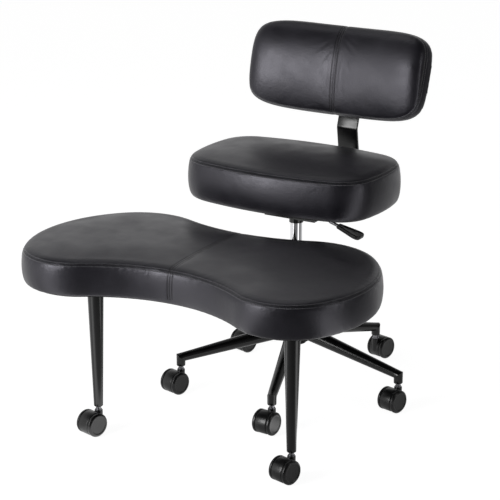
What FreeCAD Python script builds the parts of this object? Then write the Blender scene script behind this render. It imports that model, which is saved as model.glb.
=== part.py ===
import FreeCAD, Part
import math
import os

import Sketcher
from FreeCAD import Placement, Rotation, Vector

# A cross-legged office chair: a seat and a small backrest on a gas lift, and a kidney
# footrest that turns round the same column on two legs of its own.
# Origin on the floor under the column, +Z up, the footrest in front along -Y, the lever on +X.

DRIVING_SIZES = {
    # casters
    "wheel_diameter": 50,
    "wheel_width": 8.1,
    "wheel_bevel": 3.2,
    "wheel_rim": 3.4,
    "wheel_dish": 1.0,
    "hood_width": 27,
    "hood_gap": 0.8,
    "hood_floor_gap": 6,
    "caster_trail": 19,
    "axle_diameter": 6,
    "axle_inset": 2.6,
    "stem_diameter": 11,
    "stem_collar": 14.4,
    "stem_collar_height": 1.6,
    "stem_bury": 24,
    "boss_diameter": 17,
    "boss_floor": 6,
    "running_gap": 0.05,
    "end_gap": 0.25,
    # five-star base
    "base_radius": 252.5,
    "socket_height": 58.5,
    "socket_diameter": 19.5,
    "socket_depth": 23,
    "arm_tip_diameter": 20,
    "arm_root_diameter": 34,
    "arm_tip_height": 77,
    "arm_root_height": 139,
    "arm_wall": 2,
    "hub_diameter": 62,
    "hub_height": 54,
    # column and gas lift
    "column_diameter": 50,
    "column_taper": 1,
    "column_wall": 2,
    "column_top": 326,
    "column_tail": 6,
    "bush_depth": 46,
    "bush_flange": 3,
    "tube_diameter": 26,
    "tube_wall": 1.3,
    "tube_guide": 14,
    "tube_cap": 16,
    "rod_diameter": 10,
    "rod_shoulder": 20,
    "rod_shoulder_height": 4,
    "piston_height": 12,
    "bearing_diameter": 30,
    "bearing_height": 8,
    "lift_travel": 100,
    "pin_diameter": 8,
    "pin_length": 30,
    # footrest frame
    "ring_wall": 5,
    "ring_height": 36,
    "ring_bush_wall": 2,
    "ring_bush_lip": 2,
    "collar_wall": 7,
    "collar_height": 10,
    "foot_arm_width": 44,
    "foot_arm_height": 26,
    "foot_arm_wall": 2.5,
    "foot_plate_width": 150,
    "foot_plate_depth": 170,
    "foot_plate_thickness": 4,
    "leg_x": 229.6,
    "leg_y": 428,
    "leg_tip_diameter": 19,
    "leg_root_diameter": 35,
    "leg_wall": 2,
    "leg_plate_diameter": 84,
    "screw_diameter": 5,
    "screw_head": 10,
    "screw_head_height": 3,
    "screw_length": 13,
    # footrest pad
    "foot_under": 341,
    "foot_thickness": 75,
    "foot_front_x": 241,
    "foot_front_y": 453,
    "foot_front_radius": 123.6,
    "foot_back_x": 198,
    "foot_back_y": 328,
    "foot_back_radius": 152,
    "foot_side_radius": 247,
    "foot_front_waist": 505,
    "foot_back_waist": 214,
    "board_thickness": 12,
    "board_inset": 16,
    "cushion_lip": 1.5,
    "cushion_gap": 0.3,
    # seat
    "seat_under": 437,
    "seat_thickness": 91,
    "seat_half_width": 225,
    "seat_half_depth": 148,
    "seat_corner": 85,
    "seat_corner_x": 136,
    "seat_corner_y": 49,
    "seat_offset": 13,
    "seat_plate_width": 190,
    "seat_plate_depth": 210,
    "seat_plate_thickness": 3,
    "channel_front": 62,
    "channel_back": 60,
    "channel_width": 66,
    "channel_height": 41,
    "channel_wall": 3,
    "socket_tube_wall": 2.4,
    "socket_tube_reach": 15,
    "bolt_diameter": 8,
    "bolt_head": 13,
    "bolt_head_height": 5,
    "seat_bolt_x": 72,
    "seat_bolt_y": 84,
    # lever
    "lever_drop": 16,
    "tube_drop": 14,
    "lever_pivot": 24,
    "lever_bar_width": 6,
    "lever_bar_height": 10,
    "lever_bar_length": 44,
    "lever_tail": 9,
    "lever_rod_diameter": 7,
    "lever_bend": 50,
    "lever_fall": 40,
    "lever_fall_length": 44,
    "lever_slope": 17,
    "lever_rod_end": 36,
    "lever_pin_diameter": 6,
    "paddle_length": 60,
    "paddle_width": 34,
    "paddle_thickness": 9,
    "paddle_start": 18,
    "paddle_neck": 44,
    "paddle_corner": 9,
    # backrest
    "back_half_width": 223,
    "back_half_height": 100.5,
    "back_thickness": 66,
    "back_bow_radius": 890,
    "back_board_inset": 28,
    "back_board_corner": 40,
    "back_board_bow": 8,
    "back_rear_y": 225,
    "back_centre_z": 666,
    "back_tilt": 19,
    "bar_width": 50,
    "bar_thickness": 6,
    "bar_front": 48,
    "bar_lean": 9,
    "bar_kink_height": 539,
    "bar_end": 40,
    "bar_bend": 14,
    "bar_bolt_gap": 32,
    "back_bolt_gap": 50,
    "back_bolt_length": 16,
    "bracket_depth": 45,
    "bracket_width": 60,
    "bracket_height": 100,
    "bracket_flange": 22,
    "bracket_wall": 3,
    "bracket_drop": 10,
}

ARM_COUNT = 5
ARM_LETTERS = "abcde"
SCREWS_PER_LEG_PLATE = 3

# Direction in which each caster trails, in degrees round the column from +X.
TRAIL_TOWARDS_FRONT = 255
TRAIL_TOWARDS_BACK = 75
TRAIL_OF_FRONT_ARM = 265

doc = FreeCAD.newDocument("cross_legged_chair")
sheet = doc.addObject("Spreadsheet::Sheet", "dim")
for row, (alias, number) in enumerate(DRIVING_SIZES.items(), 1):
    sheet.set("A%d" % row, alias)
    sheet.set("B%d" % row, str(number))
    sheet.setAlias("B%d" % row, alias)
doc.recompute()


class Size:
    """A length or angle that carries both its number and its formula in the sheet."""

    def __init__(self, number, formula):
        self.number = float(number)
        self.formula = formula

    def __add__(self, other):
        other = as_size(other)
        return Size(self.number + other.number, "(%s + %s)" % (self.formula, other.formula))

    def __sub__(self, other):
        other = as_size(other)
        return Size(self.number - other.number, "(%s - %s)" % (self.formula, other.formula))

    def __mul__(self, other):
        other = as_size(other)
        return Size(self.number * other.number, "(%s * %s)" % (self.formula, other.formula))

    def __truediv__(self, other):
        other = as_size(other)
        return Size(self.number / other.number, "(%s / %s)" % (self.formula, other.formula))

    def __neg__(self):
        return Size(-self.number, "(-%s)" % self.formula)

    def __float__(self):
        return self.number


class Sizes:
    """The sheet's cells, read by name."""

    def __getattr__(self, alias):
        return Size(sheet.get(alias), "dim." + alias)


def as_size(value):
    return value if isinstance(value, Size) else Size(value, repr(float(value)))


def sine(angle):
    return Size(math.sin(math.radians(angle.number)), "sin(%s * 1 deg)" % angle.formula)


def cosine(angle):
    return Size(math.cos(math.radians(angle.number)), "cos(%s * 1 deg)" % angle.formula)


def tangent(angle):
    return sine(angle) / cosine(angle)


size = Sizes()
pieces = {}


def piece(node, solid, placement=None):
    """Name the finished solid after its node and put it in its place."""
    solid.Label = node
    if placement is not None:
        solid.Placement = placement
    pieces[node] = solid
    return solid


def at(x, y, z, axis=Vector(0, 0, 1), angle=0):
    return Placement(Vector(float(x), float(y), float(z)), Rotation(axis, float(angle)))


def bind(thing, **lengths):
    for name, length in lengths.items():
        thing.setExpression(name, as_size(length).formula)


def box(name, low, high, frame=Placement()):
    """Box between two corners given as sizes in a frame."""
    solid = doc.addObject("Part::Box", name)
    bind(solid, Length=as_size(high[0]) - low[0])
    bind(solid, Width=as_size(high[1]) - low[1])
    bind(solid, Height=as_size(high[2]) - low[2])
    solid.Placement = frame.multiply(at(*low))
    return solid


def rod(name, diameter, length, placement):
    solid = doc.addObject("Part::Cylinder", name)
    bind(solid, Radius=as_size(diameter) / 2, Height=length)
    solid.Placement = placement
    return solid


def cut(name, base, *tools):
    result = doc.addObject("Part::Cut", name)
    result.Base = base
    result.Tool = tools[0] if len(tools) == 1 else group(name + "_tools", tools)
    return result


def join(name, *solids):
    result = doc.addObject("Part::MultiFuse", name)
    result.Shapes = list(solids)
    result.Refine = True
    return result


def group(name, solids):
    result = doc.addObject("Part::Compound", name)
    result.Links = list(solids)
    return result


def origin_plane(body, role):
    return next(item for item in body.Origin.OriginFeatures if item.Role == role)


def outline_sketch(body, role, corners):
    """Closed outline of straight lines whose corners are bound to the sheet."""
    sketch = body.newObject("Sketcher::SketchObject", body.Name + "_outline")
    sketch.AttachmentSupport = [(origin_plane(body, role), "")]
    sketch.MapMode = "FlatFace"
    spots = [Vector(float(x), float(y), 0) for x, y in corners]
    for start, end in zip(spots, spots[1:] + spots[:1]):
        sketch.addGeometry(Part.LineSegment(start, end), False)
    for line in range(len(spots)):
        following = (line + 1) % len(spots)
        sketch.addConstraint(Sketcher.Constraint("Coincident", line, 2, following, 1))
    for line, (x, y) in enumerate(corners):
        for direction, place in (("DistanceX", x), ("DistanceY", y)):
            place = as_size(place)
            constraint = Sketcher.Constraint(direction, -1, 1, line, 1, place.number)
            number = sketch.addConstraint(constraint)
            sketch.setExpression("Constraints[%d]" % number, place.formula)
    return sketch


def turned(name, corners):
    """Solid of revolution about Z from the (radius, height) corners of its half section."""
    body = doc.addObject("PartDesign::Body", name)
    sketch = outline_sketch(body, "XZ_Plane", corners)
    revolution = body.newObject("PartDesign::Revolution", name + "_turn")
    revolution.Profile = sketch
    revolution.ReferenceAxis = (sketch, ["V_Axis"])
    revolution.Angle = 360
    body.Tip = revolution
    return body


def pad(name, role, corners, length):
    """Straight-edged outline raised to both sides of its plane."""
    body = doc.addObject("PartDesign::Body", name)
    sketch = outline_sketch(body, role, corners)
    feature = body.newObject("PartDesign::Pad", name + "_pad")
    feature.Profile = sketch
    feature.SideType = "Symmetric"
    bind(feature, Length=length)
    body.Tip = feature
    return body


def screw(name, shank, head, head_height, length, placement):
    """Bolt or screw with its head below the origin and its shank up along Z."""
    shank_radius = as_size(shank) / 2
    head_radius = as_size(head) / 2
    corners = [
        (0, -as_size(head_height)),
        (head_radius, -as_size(head_height)),
        (head_radius, 0),
        (shank_radius, 0),
        (shank_radius, length),
        (0, length),
    ]
    body = turned(name, corners)
    body.Placement = placement
    return body


def hole(name, diameter, length, placement):
    """Drill for a bolt or screw, with running clearance."""
    return rod(name, as_size(diameter) + size.running_gap * 2, length, placement)


# Casters. Each has a plastic hood between its wheels, a steel stem that swivels in a
# socket, an axle through the hood and two wheels. The stem stands at the local origin.
def caster(letter, x, y, trail_angle):
    place = at(x, y, 0, angle=trail_angle)
    wheel_radius = size.wheel_diameter / 2
    axle_radius = size.axle_diameter / 2
    inner_face = size.hood_width / 2 + size.hood_gap
    outer_face = inner_face + size.wheel_width
    axle_end = outer_face - size.axle_inset
    boss_top = size.wheel_diameter
    hub = Vector(float(size.caster_trail), 0, float(wheel_radius))

    def along_axle(side):
        return place.multiply(Placement(hub, Rotation(Vector(1, 0, 0), -90 * side)))

    bore = axle_radius + size.running_gap
    dish = outer_face - size.wheel_dish
    wheel = [
        (bore, inner_face),
        (wheel_radius - size.wheel_dish, inner_face),
        (wheel_radius, inner_face + size.wheel_dish),
        (wheel_radius, outer_face - size.wheel_bevel),
        (wheel_radius - size.wheel_bevel, outer_face),
        (wheel_radius - size.wheel_bevel - size.wheel_rim, outer_face),
        (wheel_radius - size.wheel_bevel - size.wheel_rim - size.wheel_dish, dish),
        (0, dish),
        (0, axle_end + size.end_gap),
        (bore, axle_end + size.end_gap),
    ]
    for side, name in ((1, "left"), (-1, "right")):
        node = "caster_%s_wheel_%s" % (letter, name)
        piece(node, turned(node, wheel), along_axle(side))

    hood = "caster_%s_hood" % letter
    web = rod(hood + "_web", size.wheel_diameter, size.hood_width, Placement())
    web.Placement = Placement(hub, Rotation(Vector(1, 0, 0), -90)).multiply(
        at(0, 0, -size.hood_width / 2))
    stem_foot = boss_top - size.stem_bury
    boss_foot = stem_foot - size.boss_floor
    boss = rod(hood + "_boss", size.boss_diameter, boss_top - boss_foot, at(0, 0, boss_foot))
    stem_hole = rod(hood + "_stem_hole", size.stem_diameter + size.running_gap * 2,
                    size.stem_bury + size.end_gap, at(0, 0, stem_foot))
    axle_hole = rod(hood + "_axle_hole", size.axle_diameter + size.running_gap * 2,
                    size.hood_width * 2, Placement())
    axle_hole.Placement = Placement(hub, Rotation(Vector(1, 0, 0), -90)).multiply(
        at(0, 0, -size.hood_width))
    reach = size.wheel_diameter
    under = box(hood + "_under", (-reach, -reach, -reach), (reach * 2, reach, size.hood_floor_gap))
    body = join(hood + "_body", web, boss)
    piece(hood, cut(hood, body, stem_hole, axle_hole, under), place)

    stem_radius = size.stem_diameter / 2
    stem_top = size.socket_height + size.socket_depth - size.end_gap
    chamfer = size.stem_collar_height
    stem = turned("caster_%s_stem" % letter, [
        (0, stem_foot + size.end_gap),
        (stem_radius, stem_foot + size.end_gap),
        (stem_radius, boss_top),
        (size.stem_collar / 2, boss_top),
        (size.stem_collar / 2, boss_top + size.stem_collar_height),
        (stem_radius, boss_top + size.stem_collar_height),
        (stem_radius, stem_top - chamfer),
        (stem_radius - chamfer, stem_top),
        (0, stem_top),
    ])
    axle = rod("caster_%s_axle" % letter, size.axle_diameter, axle_end * 2, Placement())
    axle.Placement = Placement(hub, Rotation(Vector(1, 0, 0), -90)).multiply(at(0, 0, -axle_end))
    pins = "caster_%s_pins" % letter
    piece(pins, group(pins, [stem, axle]), place)


for index, letter in enumerate(ARM_LETTERS):
    turn = math.radians(index * 360 / ARM_COUNT)
    trail_angle = {1: TRAIL_TOWARDS_BACK, 4: TRAIL_OF_FRONT_ARM}.get(index, TRAIL_TOWARDS_FRONT)
    caster(letter, size.base_radius.number * math.cos(turn),
           size.base_radius.number * math.sin(turn), trail_angle)
for letter, side in (("left", -1), ("right", 1)):
    caster(letter, size.leg_x.number * side, -size.leg_y.number, TRAIL_TOWARDS_FRONT)


# Five-star base: a steel hub with a tapered bore, and five tapered tubes welded to it.
# Each tube ends in a mitred elbow and a vertical socket for a caster's stem.
hub_radius = size.hub_diameter / 2
column_radius = size.column_diameter / 2
hub_bottom = size.arm_root_height - size.hub_height / 2
hub_top = size.arm_root_height + size.hub_height / 2
taper_foot = column_radius - size.column_taper
piece("base_hub", turned("base_hub", [
    (taper_foot, hub_bottom),
    (hub_radius, hub_bottom),
    (hub_radius, hub_top),
    (column_radius, hub_top),
]))


def base_arm(letter, angle):
    """Tapered tube from the hub to its elbow, and the socket below the elbow."""
    drop = size.arm_root_height - size.arm_tip_height
    slope = math.atan2(drop.number, size.base_radius.number)
    length = math.hypot(drop.number, size.base_radius.number)
    elbow = Vector(float(size.base_radius), 0, float(size.arm_tip_height))
    along = Rotation(Vector(0, 1, 0), 90 + math.degrees(slope))
    name = "arm_" + letter
    overrun = size.arm_tip_diameter.number
    narrowing = (size.arm_root_diameter - size.arm_tip_diameter).number / 2 / length

    def taper(label, wall, end):
        cone = doc.addObject("Part::Cone", label)
        bind(cone, Radius1=size.arm_root_diameter / 2 - wall)
        bind(cone, Radius2=size.arm_tip_diameter / 2 - wall - narrowing * (end - length))
        cone.Height = end
        cone.Placement = Placement(Vector(0, 0, float(size.arm_root_height)), along)
        return cone

    mitre_angle = (math.pi / 2 - slope) / 2
    reach = size.base_radius.number
    beyond = doc.addObject("Part::Box", name + "_beyond_mitre")
    beyond.Length = reach
    beyond.Width = reach
    beyond.Height = reach
    facing = Rotation(Vector(0, 1, 0), 90 + math.degrees(slope + mitre_angle))
    beyond.Placement = Placement(elbow, facing).multiply(at(-reach / 2, -reach / 2, 0))
    tube = cut(name + "_tube", taper(name + "_cone", 0, length + overrun), beyond)
    socket_length = size.arm_tip_height + overrun - size.socket_height
    post = rod(name + "_post", size.socket_diameter, socket_length,
               at(size.base_radius, 0, size.socket_height))
    socket = doc.addObject("Part::Common", name + "_socket")
    socket.Base = post
    socket.Tool = beyond
    hollow_end = length - (size.socket_diameter / 2 + size.arm_wall).number
    hollow = taper(name + "_hollow", size.arm_wall, hollow_end)
    seat = rod(name + "_hub_seat", size.hub_diameter, size.column_top, at(0, 0, 0))
    stem_bore = hole(name + "_bore", size.stem_diameter, size.socket_depth,
                     at(size.base_radius, 0, size.socket_height))
    solid = cut(name, join(name + "_body", tube, socket), hollow, seat, stem_bore)
    solid.Placement = at(0, 0, 0, angle=angle)
    return solid


arms = [base_arm(letter, index * 360 / ARM_COUNT) for index, letter in enumerate(ARM_LETTERS)]
piece("base_arms", group("base_arms", arms))


# Column: the outer tube of the gas lift, wedged in the hub, with a guide bush in its mouth
# and a collar round it that carries the footrest's ring.
column_bottom = hub_bottom - size.column_tail
floor_top = column_bottom + size.rod_shoulder_height
column_bore = column_radius - size.column_wall - size.column_taper
rod_radius = size.rod_diameter / 2
rod_bore = rod_radius + size.running_gap
mouth = column_radius - size.column_wall
bush_foot = size.column_top - size.bush_depth
piece("column_tube", turned("column_tube", [
    (rod_bore, column_bottom),
    (taper_foot, column_bottom),
    (taper_foot, hub_bottom),
    (column_radius, hub_top),
    (column_radius, size.column_top),
    (mouth, size.column_top),
    (mouth, bush_foot),
    (column_bore, bush_foot),
    (column_bore, floor_top),
    (rod_bore, floor_top),
]))
tube_radius = size.tube_diameter / 2
piece("column_bush", turned("column_bush", [
    (tube_radius + size.running_gap, bush_foot),
    (mouth, bush_foot),
    (mouth, size.column_top),
    (column_radius, size.column_top),
    (column_radius, size.column_top + size.bush_flange),
    (tube_radius + size.running_gap, size.column_top + size.bush_flange),
]))


# Gas lift: a thrust bearing on the column's floor carries the piston rod by its shoulder,
# and the chrome tube slides on the rod's piston. The release pin is at its top.
bearing_top = floor_top + size.bearing_height
piece("thrust_bearing", turned("thrust_bearing", [
    (rod_bore, floor_top),
    (size.bearing_diameter / 2, floor_top),
    (size.bearing_diameter / 2, bearing_top),
    (rod_bore, bearing_top),
]))
shoulder_foot = bearing_top + size.end_gap
shoulder_top = shoulder_foot + size.rod_shoulder_height
tube_bottom = shoulder_top + size.rod_shoulder_height
piston_foot = tube_bottom + size.lift_travel + size.tube_guide + size.end_gap
piston_top = piston_foot + size.piston_height
tube_bore = tube_radius - size.tube_wall
rivet_foot = column_bottom - size.end_gap - size.rod_shoulder_height
piece("piston_rod", turned("piston_rod", [
    (0, rivet_foot),
    (size.rod_shoulder / 2, rivet_foot),
    (size.rod_shoulder / 2, column_bottom - size.end_gap),
    (rod_radius, column_bottom - size.end_gap),
    (rod_radius, shoulder_foot),
    (size.rod_shoulder / 2, shoulder_foot),
    (size.rod_shoulder / 2, shoulder_top),
    (rod_radius, shoulder_top),
    (rod_radius, piston_foot),
    (tube_bore - size.running_gap, piston_foot),
    (tube_bore - size.running_gap, piston_top),
    (0, piston_top),
]))
pin_radius = size.pin_diameter / 2
pin_bore = pin_radius + size.running_gap
lever_height = size.seat_under - size.lever_drop
tube_top = lever_height - size.tube_drop
pin_top = lever_height - size.lever_bar_height / 2 - size.end_gap
piece("pressure_tube", turned("pressure_tube", [
    (rod_bore, tube_bottom),
    (tube_radius, tube_bottom),
    (tube_radius, tube_top),
    (pin_bore, tube_top),
    (pin_bore, tube_top - size.tube_cap),
    (tube_bore, tube_top - size.tube_cap),
    (tube_bore, tube_bottom + size.tube_guide),
    (rod_bore, tube_bottom + size.tube_guide),
]))
piece("release_pin", turned("release_pin", [
    (0, pin_top - size.pin_length),
    (pin_radius, pin_top - size.pin_length),
    (pin_radius, pin_top),
    (0, pin_top),
]))


# Pads are sewn to an outline of arcs that run smoothly into each other. An outline is a
# list of arcs (centre, radius, start angle, end angle), anticlockwise; hollow stretches
# have a negative radius. Drawing the outline in by some depth only changes the radii.
def outline_wire(arcs, depth, height):
    edges = []
    for centre, radius, start, end in arcs:
        reach = radius - depth
        spots = []
        for turn in (start, (start + end) / 2, end):
            spots.append(Vector(centre[0] + reach * math.cos(turn),
                                centre[1] + reach * math.sin(turn), height))
        edges.append(Part.Arc(*spots).toShape())
    return Part.Wire(edges)


def angle_of(start, end):
    return math.atan2(end[1] - start[1], end[0] - start[0])


def bowed_radius(half_span, rise, corner):
    """Radius of a side arc that runs into two corner circles half_span either side of its middle."""
    return (half_span ** 2 + rise ** 2 - corner ** 2) / (2 * (rise - corner))


def cushion_outline(half_width, half_depth, corner, corner_x, corner_y):
    """Rounded rectangle with four bowed sides, centred on the origin."""
    side = bowed_radius(corner_y, half_width - corner_x, corner)
    end = bowed_radius(corner_x, half_depth - corner_y, corner)
    side_centre = half_width - side
    end_centre = half_depth - end
    side_half = angle_of((side_centre, 0), (corner_x, corner_y))
    end_half = math.pi / 2 - angle_of((0, end_centre), (corner_x, corner_y))
    quarter = math.pi / 2
    arcs = []
    for count in range(4):
        turn = count * quarter
        if count % 2 == 0:
            centre, radius, half, other_half = side_centre, side, side_half, end_half
            first, second = corner_x, corner_y
        else:
            centre, radius, half, other_half = end_centre, end, end_half, side_half
            first, second = corner_y, corner_x
        middle = (centre * math.cos(turn), centre * math.sin(turn))
        arcs.append((middle, radius, turn - half, turn + half))
        corner_centre = (first * math.cos(turn) - second * math.sin(turn),
                         first * math.sin(turn) + second * math.cos(turn))
        arcs.append((corner_centre, corner, turn + half, turn + quarter - other_half))
    return arcs


def kidney_outline():
    """Two lobes of three arcs each, joined by a deep front waist and a shallow back waist."""
    front = (size.foot_front_x.number, -size.foot_front_y.number)
    back = (size.foot_back_x.number, -size.foot_back_y.number)
    front_radius = size.foot_front_radius.number
    back_radius = size.foot_back_radius.number
    side_radius = size.foot_side_radius.number
    from_front = side_radius - front_radius
    from_back = side_radius - back_radius
    apart = math.dist(front, back)
    bearing = angle_of(front, back)
    swing = math.acos((from_front ** 2 + apart ** 2 - from_back ** 2) / (2 * from_front * apart))
    side = (front[0] + from_front * math.cos(bearing + swing),
            front[1] + from_front * math.sin(bearing + swing))
    front_rise = front[1] + size.foot_front_waist.number
    front_hollow = ((front[0] ** 2 + front_rise ** 2 - front_radius ** 2)
                    / (2 * (front_radius - front_rise)))
    front_middle = (0, -size.foot_front_waist.number - front_hollow)
    back_rise = -size.foot_back_waist.number - back[1]
    back_hollow = ((back[0] ** 2 + back_rise ** 2 - back_radius ** 2)
                   / (2 * (back_radius - back_rise)))
    back_middle = (0, -size.foot_back_waist.number + back_hollow)
    front_start = angle_of(front, front_middle)
    side_start = angle_of(side, front)
    side_end = angle_of(side, back)
    back_end = angle_of(back, back_middle)
    right = [
        (front, front_radius, front_start, side_start),
        (side, side_radius, side_start, side_end),
        (back, back_radius, side_end, back_end),
    ]
    left = []
    for centre, radius, start, end in reversed(right):
        left.append(((-centre[0], centre[1]), radius, math.pi - end, math.pi - start))
    return (right
            + [(back_middle, -back_hollow, back_end, math.pi - back_end)]
            + left
            + [(front_middle, -front_hollow, math.pi - front_start - 2 * math.pi, front_start)])


def slab(arcs, depth, low, high):
    """Flat board cut to the outline drawn in by some depth."""
    return Part.Face(outline_wire(arcs, depth, low)).extrude(Vector(0, 0, high - low))


# Side of a pad from its underside up: share of the thickness, and how far the leather is
# drawn in there in shares of the thickness. It swells at mid height and crowns at the top.
PAD_SIDE = [
    (0.00, 0.12),
    (0.07, 0.04),
    (0.20, 0.005),
    (0.34, 0.00),
    (0.48, 0.00),
    (0.62, 0.002),
    (0.75, 0.006),
    (0.865, 0.02),
    (0.94, 0.065),
    (0.972, 0.15),
    (0.989, 0.28),
    (1.00, 0.42),
]


def cushion(node, arcs, thickness, board_inset):
    """Crowned pad that wraps a board let into its underside."""
    lip = size.cushion_lip.number
    rise = thickness - lip
    wires = [outline_wire(arcs, inset * thickness, lip + share * rise) for share, inset in PAD_SIDE]
    swollen = Part.makeLoft(wires, True, False)
    recess = slab(arcs, board_inset - size.cushion_gap.number, 0, size.board_thickness.number)
    feature = doc.addObject("Part::Feature", node)
    feature.Shape = swollen.cut(recess)
    return feature


def board(node, arcs, inset, drills):
    """Plywood board with its underside on the local origin plane."""
    thickness = size.board_thickness.number
    solid = slab(arcs, inset, 0, thickness)
    for x, y, diameter in drills:
        radius = diameter / 2 + size.running_gap.number
        solid = solid.cut(Part.makeCylinder(radius, thickness, Vector(x, y, 0)))
    feature = doc.addObject("Part::Feature", node)
    feature.Shape = solid
    return feature


# Footrest frame: a ring turns on the column with a plastic bush between, and an arm
# reaches forward from it to a plate under the footrest's board.
plate_bottom = size.foot_under - size.foot_plate_thickness
arm_bottom = plate_bottom - size.foot_arm_height
bush_inner = column_radius + size.running_gap
ring_inner = bush_inner + size.ring_bush_wall
ring_outer = ring_inner + size.ring_wall
ring_top = size.column_top - size.ring_bush_lip
ring_bottom = ring_top - size.ring_height
collar_top = ring_bottom - size.ring_bush_lip - size.end_gap
piece("ring_collar", turned("ring_collar", [
    (column_radius, collar_top - size.collar_height),
    (column_radius + size.collar_wall, collar_top - size.collar_height),
    (column_radius + size.collar_wall, collar_top),
    (column_radius, collar_top),
]))
piece("footrest_ring", turned("footrest_ring", [
    (ring_inner, ring_bottom),
    (ring_outer, ring_bottom),
    (ring_outer, ring_top),
    (ring_inner, ring_top),
]))
piece("ring_bush", turned("ring_bush", [
    (bush_inner, ring_bottom - size.ring_bush_lip),
    (column_radius + size.collar_wall, ring_bottom - size.ring_bush_lip),
    (column_radius + size.collar_wall, ring_bottom),
    (ring_inner, ring_bottom),
    (ring_inner, ring_top),
    (bush_inner, ring_top),
]))
plate_middle = (size.foot_back_waist + size.foot_front_waist) / 2
plate_front = plate_middle + size.foot_plate_depth / 2
arm_front = plate_middle + size.foot_plate_depth / 4
plate_back = plate_middle - size.foot_plate_depth / 2
arm_half = size.foot_arm_width / 2
arm_block = box("footrest_arm_block", (-arm_half, -arm_front, arm_bottom),
                (arm_half, 0, plate_bottom))
arm_wall = size.foot_arm_wall
arm_hollow = box("footrest_arm_hollow",
                 (arm_wall - arm_half, -arm_front - arm_wall, arm_bottom + arm_wall),
                 (arm_half - arm_wall, arm_wall, plate_bottom - arm_wall))
ring_seat = rod("footrest_arm_seat", ring_outer * 2, size.foot_under, at(0, 0, 0))
piece("footrest_arm", cut("footrest_arm", arm_block, arm_hollow, ring_seat))

plate_half = size.foot_plate_width / 2
screw_in = size.screw_head
plate_screws = []
for x in (-plate_half + screw_in, plate_half - screw_in):
    for y in (-plate_front + screw_in, -plate_back - screw_in):
        plate_screws.append((float(x), float(y)))
plate_block = box("footrest_plate_block", (-plate_half, -plate_front, plate_bottom),
                  (plate_half, -plate_back, size.foot_under))
plate_holes = [hole("footrest_plate_hole_%d" % number, size.screw_diameter,
                    size.foot_plate_thickness, at(x, y, plate_bottom))
               for number, (x, y) in enumerate(plate_screws)]
piece("footrest_plate", cut("footrest_plate", plate_block, *plate_holes))


# Legs: tapered tubes, each with a caster's socket at its foot and a round plate on top.
leg_tip = size.leg_tip_diameter / 2
leg_root = size.leg_root_diameter / 2
plug_top = size.socket_height + size.socket_depth + size.leg_wall
leg_slope = (leg_root - leg_tip) / (plate_bottom - size.socket_height)
plug_radius = leg_tip + leg_slope * (plug_top - size.socket_height) - size.leg_wall
leg_screws = []
leg_plates = []
for name, side in (("left", -1), ("right", 1)):
    node = "leg_" + name
    spot = at(size.leg_x.number * side, -size.leg_y.number, 0)
    shaft = turned(node + "_shaft", [
        (0, size.socket_height),
        (leg_tip, size.socket_height),
        (leg_root, plate_bottom),
        (leg_root - size.leg_wall, plate_bottom),
        (plug_radius, plug_top),
        (0, plug_top),
    ])
    bore = hole(node + "_bore", size.stem_diameter, size.socket_depth,
                at(0, 0, size.socket_height))
    piece(node, cut(node, shaft, bore), spot)
    disc = rod(node + "_disc", size.leg_plate_diameter, size.foot_plate_thickness,
               spot.multiply(at(0, 0, plate_bottom)))
    drills = []
    circle = size.leg_plate_diameter.number / 2 - size.screw_head.number
    for number in range(SCREWS_PER_LEG_PLATE):
        turn = 2 * math.pi * number / SCREWS_PER_LEG_PLATE + math.pi / 2
        x = spot.Base.x + circle * math.cos(turn)
        y = spot.Base.y + circle * math.sin(turn)
        leg_screws.append((x, y))
        drills.append(hole("%s_drill_%d" % (node, number), size.screw_diameter,
                           size.foot_plate_thickness, at(x, y, plate_bottom)))
    leg_plates.append(cut(node + "_plate", disc, *drills))
piece("leg_plates", group("leg_plates", leg_plates))
foot_screws = plate_screws + leg_screws
piece("footrest_screws", group("footrest_screws", [
    screw("footrest_screw_%d" % number, size.screw_diameter, size.screw_head,
          size.screw_head_height, size.screw_length, at(x, y, plate_bottom))
    for number, (x, y) in enumerate(foot_screws)]))


# Footrest pad: a plywood kidney, and the crowned leather cushion that wraps it.
kidney = kidney_outline()
drills = [(x, y, size.screw_diameter.number) for x, y in foot_screws]
foot_place = at(0, 0, size.foot_under)
piece("footrest_board", board("footrest_board", kidney, size.board_inset.number, drills), foot_place)
piece("footrest_cushion", cushion("footrest_cushion", kidney, size.foot_thickness.number,
                                  size.board_inset.number), foot_place)


# Seat plate: pressed steel with a channel below it for the lever. The socket tube that
# takes the gas lift passes through the channel's floor.
seat_plate_bottom = size.seat_under - size.seat_plate_thickness
channel_bottom = size.seat_under - size.channel_height
plate_x = size.seat_plate_width / 2
plate_y = size.seat_plate_depth / 2
channel_half = size.channel_width / 2
wall = size.channel_wall
socket_outer = tube_radius + size.running_gap + size.socket_tube_wall
top_plate = box("seat_plate_top", (-plate_x, -plate_y, seat_plate_bottom),
                (plate_x, plate_y, size.seat_under))
channel = box("seat_plate_channel", (-size.channel_back, -channel_half, channel_bottom),
              (size.channel_front, channel_half, seat_plate_bottom))
channel_inside = box("seat_plate_inside", (-size.channel_back - wall, wall - channel_half,
                                           channel_bottom + wall),
                     (size.channel_front + wall, channel_half - wall, seat_plate_bottom))
socket_hole = rod("seat_plate_socket_hole", socket_outer * 2, wall, at(0, 0, channel_bottom))
pivot_turn = Rotation(Vector(1, 0, 0), -90)
pivot_place = Placement(Vector(float(size.lever_pivot), -float(channel_half),
                               float(lever_height)), pivot_turn)
pivot_hole = rod("seat_plate_pivot_hole", size.lever_pin_diameter, size.channel_width, pivot_place)
seat_bolt_spots = [(size.seat_bolt_x.number * i, size.seat_bolt_y.number * j)
                   for i in (-1, 1) for j in (-1, 1)]
bar_bolt_y = size.bar_front + size.bar_bolt_gap / 2
bar_bolt_spots = [(0, bar_bolt_y.number), (0, bar_bolt_y.number + size.bar_bolt_gap.number)]
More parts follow.
